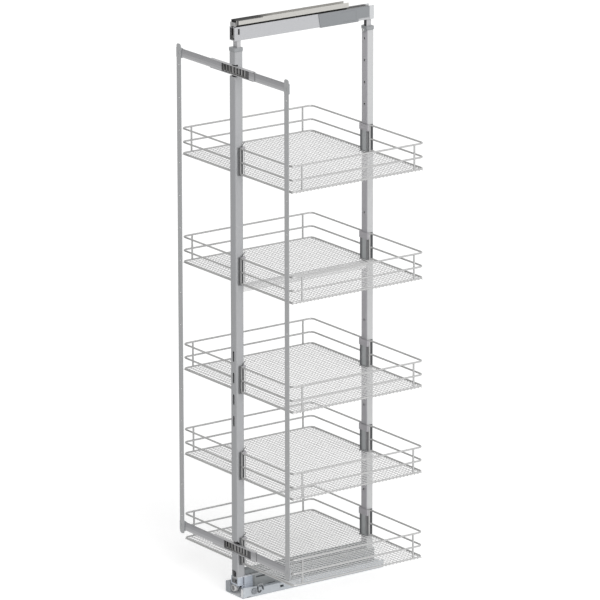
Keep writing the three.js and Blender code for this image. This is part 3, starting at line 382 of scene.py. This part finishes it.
# Painted shade: dark lines in the slot and the groove, and a darker band at the front end.
def carriagePaintedShade(tree):
    groove = patch(tree, carriageMark["groove"]) * carriageMark["grooveShade"]
    end = (tree.place()[1] < carriageMark["frontEnd"]) * carriageMark["frontShade"]
    return patch(tree, carriageMark["slot"]) + groove + end


shoeMark = {
    "middle": -0.229,
    "ends": (-0.243, -0.199),
    "groove": (-0.2341, -0.2288),
    "grooveLeft": 0.015,
    "notchAcross": (0.0035, 0.0155),
    "notchAlong": (-0.2345, -0.2215),
    "notchTop": 0.0326,
}


# Nothing at the shoe's middle, full at both of its ends.
def shoeShade(tree):
    y, middle, ends = tree.place()[1], shoeMark["middle"], shoeMark["ends"]
    return y.between(middle, ends[1]) + (y < middle) * y.between(ends[0], middle)


# Painted shade in the groove on the shoe's side.
def shoeGrooveShade(tree):
    x, y, z = tree.place()
    return (x > shoeMark["grooveLeft"]) * inside(y, shoeMark["groove"])


# Painted shade in the notch at the shoe's front.
def shoeNotchShade(tree):
    x, y, z = tree.place()
    within = inside(x, shoeMark["notchAcross"]) * inside(y, shoeMark["notchAlong"])
    return within * (z < shoeMark["notchTop"])


postMark = {
    "holeDepth": 0.003,
    "foot": (0.0550, 0.0470),
    "window": (0.0576, 0.0718),
    "windowRight": 0.0094,
}


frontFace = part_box("front_post")[0].y
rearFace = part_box("rear_post")[0].y


# Painted shade: what looks to the door deeper than the front of a post lies behind its holes, and
# is painted dark.
def shadeBehindHoles(face):
    return lambda tree: doorward(tree) * (tree.place()[1] > face + postMark["holeDepth"])


# Painted shade on the front of the post's foot, darker towards the bottom.
def postFootShade(tree):
    return doorward(tree) * tree.place()[2].between(*postMark["foot"])


# Painted shade in the window on the front of the post's foot.
def postWindowShade(tree):
    x, y, z = tree.place()
    return doorward(tree) * (x < postMark["windowRight"]) * inside(z, postMark["window"])


railMark = {
    "troughDepth": 0.0142,  # below the rail's top
    "edgeDepth": 0.0018,  # below the rail's top
    "bandDepth": 0.004,  # below the beam's top
    "stopEnd": -0.152,
    "front": -0.2348,
    "fade": (-0.17, -0.10),
    "fadeShade": 0.75,
}
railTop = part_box("top_rail")[1].z
railTrough = railTop - railMark["troughDepth"]
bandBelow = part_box("top_beam")[1].z - railMark["bandDepth"]


# Painted shade: the rail's far inner wall, dark at the door end, and the band from its trough to
# the beam.
def railInsideShade(tree):
    x, y, z = tree.place()
    hidden = rightward(tree) * (x < 0)
    hidden = hidden * (1 - railMark["fadeShade"] * y.between(*railMark["fade"]))
    return hidden.greater((z < railTrough) * (z > bandBelow))


# Painted shade on the near wall's outer face: along its top up to the stop's end, and all over its
# front end.
def railEdgeShade(tree):
    x, y, z = tree.place()
    edge = (z > railTop - railMark["edgeDepth"]) * (y < railMark["stopEnd"])
    return rightward(tree) * (x > 0) * edge.greater(y < railMark["front"])


# Painted shade on the rail's top faces up to the stop's end.
def railTopEndShade(tree):
    return upward(tree) * (tree.place()[1] < railMark["stopEnd"])


def railWebEnd(tree):
    return doorward(tree) * (tree.place()[2] < railTrough)


# Painted shade on the inner faces of the beam's walls, which stand on both sides of the middle, and
# on its tops.
def beamInsideShade(tree):
    across, x = tree.facing()[0], tree.place()[0]
    return (across > 0.5) * (x < 0) + (across < -0.5) * (x > 0) + upward(tree)


bracketMark = {"front": (-0.228, -0.240), "back": -0.2238, "side": 0.2150}


def bracketFront(tree):
    return tree.place()[1].between(*bracketMark["front"])


def bracketBack(tree):
    return tree.place()[1] > bracketMark["back"]


def bracketSide(tree):
    return tree.place()[1] < bracketMark["side"]


wireMark = {"hangerHalf": 0.0225, "hangerFront": -0.225}


def frontHangerWire(tree):
    x, y, z = tree.place()
    return (abs(x) < wireMark["hangerHalf"]) * (y < wireMark["hangerFront"])


slideMark = {
    "shadingBands": [(0.0, 0.0), (0.20, 0.05), (0.27, 0.55), (0.42, 0.55), (0.46, 0.35), (0.52, 0.9),
              (1.0, 1.0)],
    "joint": 0.1092,
    "jointHalf": 0.0019,
}


# Painted light and shade in bands up the slide's face, as steps and ridges of its profile would
# show them.
def slideShadingBands(tree):
    return tree.add("ShaderNodeValToRGB", {"stops": slideMark["shadingBands"]}, {"Fac": tree.share()[2]})


# Painted shade: a dark line in the gap at the slide's joint.
def slideJointShade(tree):
    return doorward(tree) * (abs(tree.place()[0] - slideMark["joint"]) < slideMark["jointHalf"])


# Painted shade inside the track.
def trackInsideShade(tree):
    return doorward(tree) * (tree.share()[1] > 0.5)


cageMark = {
    "wide": (0.0137, 0.30),  # a step and the share of it that is light
    "narrow": (0.0212, 0.36),
    "narrowShade": 0.55,
    "fullTo": -0.03,
    "restShade": 0.75,  # from there to the end
    "end": 0.060,
}


# Light stripes of the cage between its windows, on a dark ground that is painted shade in the
# windows. The stripes are weaker from fullTo on and stop at the end.
def cageStripesOverShade(tree):
    across = tree.place()[0]
    wide, narrow = ((across + 0.5).repeated(step) < share
                    for step, share in (cageMark["wide"], cageMark["narrow"]))
    shade = cageMark["restShade"]
    level = shade + (1 - shade) * (across < cageMark["fullTo"])
    return (wide + cageMark["narrowShade"] * narrow) * level * (across < cageMark["end"])


screwHole = 0.0023  # radius
screwHeight = sum(corner.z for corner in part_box("rear_clamp_screw")) / 2
hookLight = 0.0300  # height above which the hook is light


# Painted shade in the recess of the screw's head.
def screwRecessShade(tree):
    x, y, z = tree.place()
    z = z - screwHeight
    return doorward(tree) * ((x * x + z * z) < screwHole ** 2)


def hookTop(tree):
    return tree.place()[2] > hookLight


shadingBands = ((0.28, 0.28, 0.29), slideShadingBands)
finishes = {
    "runner": lacquer("runnerLacquer", (0.50, 0.53, 0.56), layers=[
        ((0.04, 0.042, 0.045), runnerPaintedShade), ((0.90, 0.91, 0.92), trayFloorPaintedLight)]),
    "cap": plastic("capPlastic", (0.34, 0.36, 0.38), 0.05, 0.55),
    "white": plastic("whitePlastic", (0.72, 0.73, 0.74), 0.03),
    "dark_steel": steel("shadedSteel", (0.14, 0.15, 0.16), tone=0.1),
    # The carriage's marks are painted shade, and its top faces are painted light against the shade
    # under the tie.
    "carriage": lacquer("carriageLacquer", (0.31, 0.325, 0.33), 0.5, 0.2, layers=[
        ((0.05, 0.055, 0.06), carriagePaintedShade), ((0.82, 0.83, 0.84), upward)]),
    # The shoe's ends, groove and notch are painted shade, and its top faces are painted light.
    "shoe": plastic("shoePlastic", (0.50, 0.54, 0.60), 0.04, layers=[
        ((0.36, 0.40, 0.46), shoeShade), ((0.27, 0.29, 0.33), shoeGrooveShade),
        ((0.02, 0.02, 0.022), shoeNotchShade), ((0.84, 0.86, 0.90), upward)]),
    # The posts' door faces are painted darker as painted shade, and so are their foot, foot window
    # and the faces behind their holes.
    "post": lacquer("postLacquer", (0.40, 0.405, 0.415), layers=[
        ((0.335, 0.34, 0.35), doorward), ((0.10, 0.104, 0.108), postFootShade),
        ((0.015, 0.015, 0.016), postWindowShade), ((0.03, 0.03, 0.032), shadeBehindHoles(frontFace))]),
    # The tube's door face is painted shade.
    "tube": zinc("tubeZinc", (0.48, 0.48, 0.49), [((0.37, 0.37, 0.38), doorward)]),
    "collar": plastic("collarPlastic", (0.30, 0.31, 0.32), 0.04),
    "wire": bright("brightWire", (0.50, 0.50, 0.50), [
        ((0.40, 0.40, 0.395), acrossX), ((0.30, 0.30, 0.30), frontHangerWire)]),
    "floor": bright("brightMesh", (0.62, 0.62, 0.62)),
    "slide": zinc("slideZinc", (0.44, 0.44, 0.45), [shadingBands]),
    "cage": plastic("cagePlastic", (0.05, 0.05, 0.053), 0.08),
    "saddle": lacquer("saddlePlastic", (0.36, 0.37, 0.38), 0.5, 0.1, 0.04, even),
    "bar": lacquer("barLacquer", (0.38, 0.385, 0.39)),
    "beam": extrusion("beamAluminium", (0.47, 0.475, 0.49), [((0.07, 0.07, 0.073), beamInsideShade)]),
    "rail": extrusion("railAluminium", (0.52, 0.51, 0.485), [
        ((0.025, 0.025, 0.025), railInsideShade), ((0.09, 0.09, 0.088), railEdgeShade),
        ((0.03, 0.03, 0.03), railTopEndShade), ((0.30, 0.30, 0.30), railWebEnd)]),
    # The cover's top faces are painted shade.
    "cover": plastic("coverPlastic", (0.24, 0.25, 0.262), 0.04, layers=[
        ((0.12, 0.12, 0.125), upward)]),
    "end_plate": plastic("endPlatePlastic", (0.55, 0.56, 0.57), 0.03),
}

# Single parts that differ from their slot.
ownFinish = {
    # The rear post is painted lighter than the front one as painted light; its door face and the
    # faces behind its holes are painted shade.
    "rear_post": lacquer("rearPostLitLacquer", (0.54, 0.545, 0.55), layers=[
        ((0.385, 0.377, 0.398), doorward), ((0.05, 0.05, 0.053), shadeBehindHoles(rearFace))]),
    # The rear tube's door face is painted near black, as painted shade under the beam.
    "rear_tube": zinc("rearTubeShadedZinc", (0.48, 0.48, 0.49), [((0.02, 0.02, 0.022), doorward)]),
    "rear_clamp_screw": lacquer("screwZinc", (0.60, 0.60, 0.60), 0.35, 0.3, 0.05, even, [
        ((0.05, 0.05, 0.052), screwRecessShade)]),
    # The member inside the beam is painted near black as painted shade, lighter on its door face.
    "top_member": steel("beamMemberShadedSteel", (0.05, 0.05, 0.053), [
        ((0.36, 0.36, 0.365), doorward)]),
    "latch_hook": steel("hookSteel", (0.075, 0.08, 0.086), [((0.30, 0.31, 0.32), hookTop)]),
    "foot_tie": lacquer("footTieLacquer", (0.22, 0.235, 0.24), 0.5, 0.2),
    "mid_tie": lacquer("midTieLacquer", (0.84, 0.84, 0.84)),
    "adjuster_knob": plastic("knobPlastic", (0.25, 0.265, 0.285), 0.05),
    # The right runner cap is painted lighter than the left one, with a painted highlight on its
    # door face.
    "runner_cap_right": plastic("rightCapLitPlastic", (0.55, 0.57, 0.59), 0.04, layers=[
        ((0.80, 0.81, 0.82), doorward)]),
}
for end in ("top", "bottom"):
    ownFinish[f"{end}_slide_right"] = zinc(f"{end}InnerZinc", (0.44, 0.44, 0.45), [
        shadingBands, ((0.12, 0.12, 0.124), slideJointShade)])
    ownFinish[f"{end}_slide_outer"] = zinc(f"{end}TrackZinc", (0.42, 0.42, 0.43), [
        ((0.035, 0.035, 0.038), trackInsideShade)])
    ownFinish[f"{end}_slide_cage"] = lacquer(
        f"{end}CagePlastic", (0.17, 0.167, 0.16), 0.45, 0.1,
        layers=[((0.44, 0.44, 0.44), cageStripesOverShade)])

basket = {
    "count": 5,
    "wire": 0.0055,
    "wireResolution": 2,
    "bend": 0.013,
    "bendSteps": 6,
    "railBelowRim": 0.0403,
    "floorBelowRim": 0.0739,
    "uprightInset": 0.033,
    "hangerWireX": 0.01925,
    "hangerInset": (0.0006, 0.0052),
    "joggle": 0.006,
    "meshPitch": 0.0125,
    "meshWire": 0.0018,
    "meshResolution": 1,
    "meshSink": 0.3,  # a share of the mesh's wire, as the next is
    "meshCross": 0.45,
    "meshReach": 0.001,
}

for number in range(1, basket["count"] + 1):
    ownFinish[f"bracket_{number}_front"] = plastic(
        f"bracket{number}FrontPlastic", (0.040, 0.042, 0.044), 0.08,
        layers=[((0.15, 0.152, 0.157), bracketFront), ((0.72, 0.72, 0.72), bracketBack)])
    ownFinish[f"bracket_{number}_rear"] = plastic(
        f"bracket{number}RearPlastic", (0.055, 0.057, 0.060), 0.08,
        layers=[((0.19, 0.192, 0.197), bracketSide)])


def link(piece, body, slotName, material=None):
    bpy.context.scene.collection.objects.link(piece)
    piece.data.materials.append(material or finishes[slotName])
    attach(piece, body)


edges = {"width": 0.0004, "segments": 2, "angle": 40, "weld": 0.00001}

for name, part in nodes.items():
    part.data.materials.clear()
    part.data.materials.append(ownFinish.get(name) or finishes[slotOf[name]])
    if "basket" not in name:
        part.modifiers.new("weld", "WELD").merge_threshold = edges["weld"]
        bevel = part.modifiers.new("edges", "BEVEL")
        bevel.width, bevel.segments = edges["width"], edges["segments"]
        bevel.limit_method, bevel.angle_limit = "ANGLE", math.radians(edges["angle"])
print("larder unit: finishes")


def addWire(curve, points):
    spline = curve.splines.new("POLY")
    spline.points.add(len(points) - 1)
    for target, point in zip(spline.points, points):
        target.co = (*point, 1)
    spline.use_smooth = True


def wireCurve(name, diameter, resolution):
    curve = bpy.data.curves.new(name, "CURVE")
    curve.dimensions = "3D"
    curve.bevel_depth = diameter / 2
    curve.bevel_resolution = resolution
    curve.use_fill_caps = True
    return curve


# Half a rail, from its front hanger round two corners to the rear one.
def railRoute(edge, x1, front, rear, height):
    bend, steps, insets = basket["bend"], basket["bendSteps"], basket["hangerInset"]
    x0 = basket["hangerWireX"]
    joggled = x0 + basket["joggle"]
    route = [(edge * x0, front + insets[0], height), (edge * joggled, front, height)]
    for y, inward, order in ((front, 1, range(steps + 1)), (rear, -1, range(steps, -1, -1))):
        for step in order:
            angle = step / steps * math.pi / 2
            route.append((edge * (x1 - bend + bend * math.sin(angle)),
                          y + inward * (bend - bend * math.cos(angle)), height))
    return route + [(edge * joggled, rear, height), (edge * x0, rear - insets[1], height)]


basketPlaces = {}
for number in range(1, basket["count"] + 1):
    low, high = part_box(f"basket_{number}_frame")
    radius = basket["wire"] / 2
    x1 = high.x - radius
    front, rear = low.y + radius, high.y - radius
    rim = high.z - radius
    floorZ = rim - basket["floorBelowRim"]
    basketPlaces[number] = (front, rear, rim, floorZ)
    rails = wireCurve(f"basket{number}Wires", basket["wire"], basket["wireResolution"])
    for edge in (1, -1):
        for height in (rim, rim - basket["railBelowRim"], floorZ):
            addWire(rails, railRoute(edge, x1, front, rear, height))
        for y in (front + basket["uprightInset"], rear - basket["uprightInset"]):
            addWire(rails, [(edge * x1, y, rim), (edge * x1, y, floorZ)])
        for y in (front + basket["hangerInset"][0], rear - basket["hangerInset"][1]):
            x = edge * basket["hangerWireX"]
            addWire(rails, [(x, y, rim + radius), (x, y, floorZ - radius)])
    wires = bpy.data.objects.new(f"basket{number}Wires", rails)
    link(wires, "pull_frame", "wire")
    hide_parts(f"basket_{number}_frame")

    mesh = wireCurve(f"basket{number}Mesh", basket["meshWire"], basket["meshResolution"])
    pitch, reach = basket["meshPitch"], basket["meshReach"]
    meshZ = floorZ - radius - basket["meshWire"] * basket["meshSink"]
    upper = meshZ + basket["meshWire"] * basket["meshCross"]
    lower = meshZ - basket["meshWire"] * basket["meshCross"]
    columns = int(x1 / pitch)
    for index in range(-columns, columns + 1):
        x = index * pitch
        addWire(mesh, [(x, front - reach, upper), (x, rear + reach, upper)])
    rows = int((rear - front) / 2 / pitch)
    for index in range(-rows, rows + 1):
        y = (front + rear) / 2 + index * pitch
        addWire(mesh, [(-x1 - reach, y, lower), (x1 + reach, y, lower)])
    floorMeshPiece = bpy.data.objects.new(f"basket{number}Mesh", mesh)
    link(floorMeshPiece, "pull_frame", "floor")
    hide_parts(f"basket_{number}_floor")
print("larder unit: baskets")

hanger = {
    "sheet": 0.0012,
    "fit": 0.0019,
    "bandHalf": 0.0202,
    "bandHeight": {"Front": 0.0065, "Rear": 0.019},
    "tongueHalf": 0.0158,
    "tongueShade": (-0.001, -0.010),
    "tongueEdgeShade": (0.0125, 0.0150),
    "round": 0.0003,
    "tipX": 0.0166,
    "tipRoute": ((0.002, 0.001), (0.005, 0.003), (0.0165, 0.0155)),  # inward and up
    "tipWire": 0.0020,
}


def tongueShade(tree):
    return tree.place()[0].between(*hanger["tongueShade"])


# Painted shade along the tongue's edge by the wire.
def tongueEdgeShade(tree):
    return tree.place()[0].between(*hanger["tongueEdgeShade"])


bandSteel = sheetSteel("bandSteel", (0.40, 0.39, 0.41))
tongueSteel = sheetSteel("tongueSteel", (0.385, 0.40, 0.405), [
    ((0.10, 0.105, 0.11), tongueShade), ((0.20, 0.20, 0.205), tongueEdgeShade)])
clipPlastic = plastic("clipPlastic", (0.07, 0.072, 0.075), 0.08)


# A closed outline in X and Y, pushed up from one height to another.
def prism(name, outline, z0, z1):
    count = len(outline)
    points = [(x, y, z) for z in (z0, z1) for x, y in outline]
    sides = [(i, (i + 1) % count, (i + 1) % count + count, i + count) for i in range(count)]
    faces = [tuple(range(count))[::-1], tuple(range(count, 2 * count)), *sides]
    mesh = bpy.data.meshes.new(name)
    mesh.from_pydata(points, [], faces)
    return bpy.data.objects.new(name, mesh)


def roundEdges(piece, width):
    bevel = piece.modifiers.new("edges", "BEVEL")
    bevel.width, bevel.segments = width, edges["segments"]
    bevel.limit_method = "ANGLE"


for number, (front, rear, rim, floorZ) in basketPlaces.items():
    radius = basket["wire"] / 2
    top, sheet = rim + radius, hanger["sheet"]
    for end, side, wireY in (("Front", 1, front + basket["hangerInset"][0]),
                             ("Rear", -1, rear - basket["hangerInset"][1])):
        postLow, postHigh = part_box("front_post" if side > 0 else "rear_post")
        face = postHigh.y if side > 0 else postLow.y
        inner = face + side * hanger["fit"]
        outer = inner + side * sheet
        bandBottom = top - hanger["bandHeight"][end]
        x = hanger["bandHalf"]
        band = [(-x, wireY), (-x + sheet, wireY), (-x + sheet, inner), (x - sheet, inner),
                (x - sheet, wireY), (x, wireY), (x, outer), (-x, outer)]
        plate = prism(f"basket{number}Hanger{end}", band[::side], bandBottom, top)
        roundEdges(plate, hanger["round"])
        link(plate, "pull_frame", "wire", bandSteel)
        x = hanger["tongueHalf"]
        tongue = [(-x, inner), (x, inner), (x, outer), (-x, outer)]
        strip = prism(f"basket{number}Tongue{end}", tongue[::side], floorZ - radius, bandBottom)
        roundEdges(strip, hanger["round"])
        link(strip, "pull_frame", "wire", tongueSteel)
    tips = wireCurve(f"bracket{number}Tips", hanger["tipWire"], basket["wireResolution"])
    for edge in (1, -1):
        addWire(tips, [(edge * hanger["tipX"], front + inward, rim + up)
                       for inward, up in hanger["tipRoute"]])
    link(bpy.data.objects.new(f"bracket{number}Tips", tips), "pull_frame", "bracket", clipPlastic)
print("larder unit: hangers")

railStop = {
    "length": 0.088,
    "half": 0.0108,
    "setBack": 0.001,
    "chamfer": 0.006,
    "below": 0.0004,
    "height": 0.009,
    "round": 0.0006,
}
railTab = {
    "thick": 0.0022,
    "ahead": 0.0040,
    "left": -0.0125,
    "right": 0.0090,
    "wing": 0.002,
    "notch": 0.004,
    "notchWall": 0.0008,
    "heights": (0.0036, 0.0062),  # below the trough and below the rail's top
    "round": 0.0003,
}
stopPlastic = plastic("stopPlastic", (0.03, 0.03, 0.029), 0.08, specular=0.05)
tabSteel = sheetSteel("tabSteel", (0.36, 0.36, 0.36))

low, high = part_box("top_rail")
x, stopFront, stopBack = railStop["half"], low.y + railStop["setBack"], low.y + railStop["length"]
chamfer = railStop["chamfer"]
outline = [(-x, stopFront), (x, stopFront), (x, stopBack - chamfer), (x - chamfer, stopBack),
           (-x, stopBack)]
stop = prism("topRailStop", outline, high.z - railStop["height"], high.z - railStop["below"])
roundEdges(stop, railStop["round"])
link(stop, "cabinet_side", "cage", stopPlastic)

left, right, wing, notch = (railTab[key] for key in ("left", "right", "wing", "notch"))
front = low.y - railTab["ahead"]
deep, tabBack = front + railTab["thick"], low.y + wing
notchFront = deep - railTab["notchWall"]
outline = [(left, front), (-notch, front), (-notch, notchFront), (notch, notchFront),
           (notch, front), (right, front), (right, tabBack), (right - wing, tabBack),
           (right - wing, deep), (left + wing, deep), (left + wing, tabBack), (left, tabBack)]
tab = prism("topRailTab", outline, railTrough - railTab["heights"][0],
            high.z - railTab["heights"][1])
roundEdges(tab, railTab["round"])
link(tab, "cabinet_side", "rail", tabSteel)
print("larder unit: rail stop")

shoe = {
    "cheek": (0.0143, 0.0215),
    "leftCheek": -0.0170,
    "leftSetBack": 0.001,
    "corner": 0.003,
    "back": -0.1995,
    "setBack": -0.2350,
    "groove": (-0.2339, -0.2290),
    "grooveDepth": 0.0040,
    "grooveSlope": 0.0006,
    "pocketFit": 0.0003,
    "notch": (0.0040, 0.0150, -0.2220),
    "heights": (0.0205, 0.0324, 0.0367, 0.0575),
    "round": {"shoeFoot": 0.0004, "shoeLip": 0.0004, "shoeWalls": 0.0011},
}

low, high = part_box("carriage_shoe")
inner, outer = shoe["cheek"]
groove0, groove1 = shoe["groove"]
cut, slope = outer - shoe["grooveDepth"], shoe["grooveSlope"]
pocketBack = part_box("front_post")[1].y + shoe["pocketFit"]
z0, z1, z2, z3 = shoe["heights"]
left, leftFront = shoe["leftCheek"], low.y + shoe["leftSetBack"]
rightCorner = [(outer - shoe["corner"], low.y), (outer, low.y + shoe["corner"])]
sideEdge = [(outer, groove0), (cut, groove0 + slope), (cut, groove1 - slope), (outer, groove1),
            (outer, shoe["back"])]
notch0, notch1, notchBack = shoe["notch"]
foot = [(-inner, shoe["setBack"]), (notch0, shoe["setBack"]), (notch0, notchBack),
        (notch1, notchBack), (notch1, shoe["setBack"]), (outer, shoe["setBack"]), *sideEdge[3:],
        (-inner, shoe["back"])]
lip = [(left, leftFront), *rightCorner, *sideEdge, (left, shoe["back"])]
walls = [(inner, low.y), *rightCorner, *sideEdge, (left, shoe["back"]), (left, leftFront),
         (-inner, low.y), (-inner, pocketBack), (inner, pocketBack)]
for name, outline, bottom, top in (("shoeFoot", foot, z0, z1), ("shoeLip", lip, z1, z2),
                                   ("shoeWalls", walls, z2, z3)):
    piece = prism(name, outline, bottom, top)
    roundEdges(piece, shoe["round"][name])
    link(piece, "pull_frame", "shoe")
    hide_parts("carriage_shoe")

buffer = {
    "middle": (-0.0074, 0.0200),
    "radius": 0.0100,
    "chamfer": 0.001,
    "rim": 0.0024,
    "recess": 0.0016,
    "dish": 0.0006,
    "hub": 0.001,
    "shadeFrom": 0.0001,
    "steps": 40,
}


# A profile of radius and Y, turned about an axis along Y.
def turned(name, profile, middle, steps):
    points, faces = [], []
    for radius, y in profile:
        for step in range(steps):
            angle = step / steps * 2 * math.pi
            points.append((middle[0] + radius * math.cos(angle), y,
                           middle[1] + radius * math.sin(angle)))
    for ring in range(len(profile) - 1):
        for step in range(steps):
            a, b = ring * steps + step, ring * steps + (step + 1) % steps
            faces.append((a, a + steps, b + steps, b))
    faces += [tuple(range(steps)), tuple(range(len(points) - steps, len(points)))[::-1]]
    mesh = bpy.data.meshes.new(name)
    mesh.from_pydata(points, [], faces)
    mesh.shade_smooth()
    return bpy.data.objects.new(name, mesh)


def recessFloor(tree):
    x, y, z = tree.place()
    x, z = x - buffer["middle"][0], z - buffer["middle"][1]
    within = (x * x + z * z) < (buffer["radius"] - buffer["rim"]) ** 2
    return within * (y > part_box("carriage_buffer")[0].y + buffer["shadeFrom"])


bufferRubber = plastic("bufferRubber", (0.62, 0.62, 0.62), 0.05, 0.6, layers=[
    ((0.24, 0.24, 0.245), recessFloor)])
low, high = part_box("carriage_buffer")
radius, chamfer = buffer["radius"], buffer["chamfer"]
mouth, recessEnd = radius - buffer["rim"], low.y + buffer["recess"]
profile = [(radius - chamfer, high.y), (radius, high.y - chamfer), (radius, low.y + chamfer),
           (radius - chamfer, low.y), (mouth, low.y), (mouth, recessEnd),
           (buffer["hub"], recessEnd + buffer["dish"])]
stopBuffer = turned("carriageBuffer", profile, buffer["middle"], buffer["steps"])
link(stopBuffer, "pull_frame", "white", bufferRubber)
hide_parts("carriage_buffer")
print("larder unit: carriage shoe and buffer")
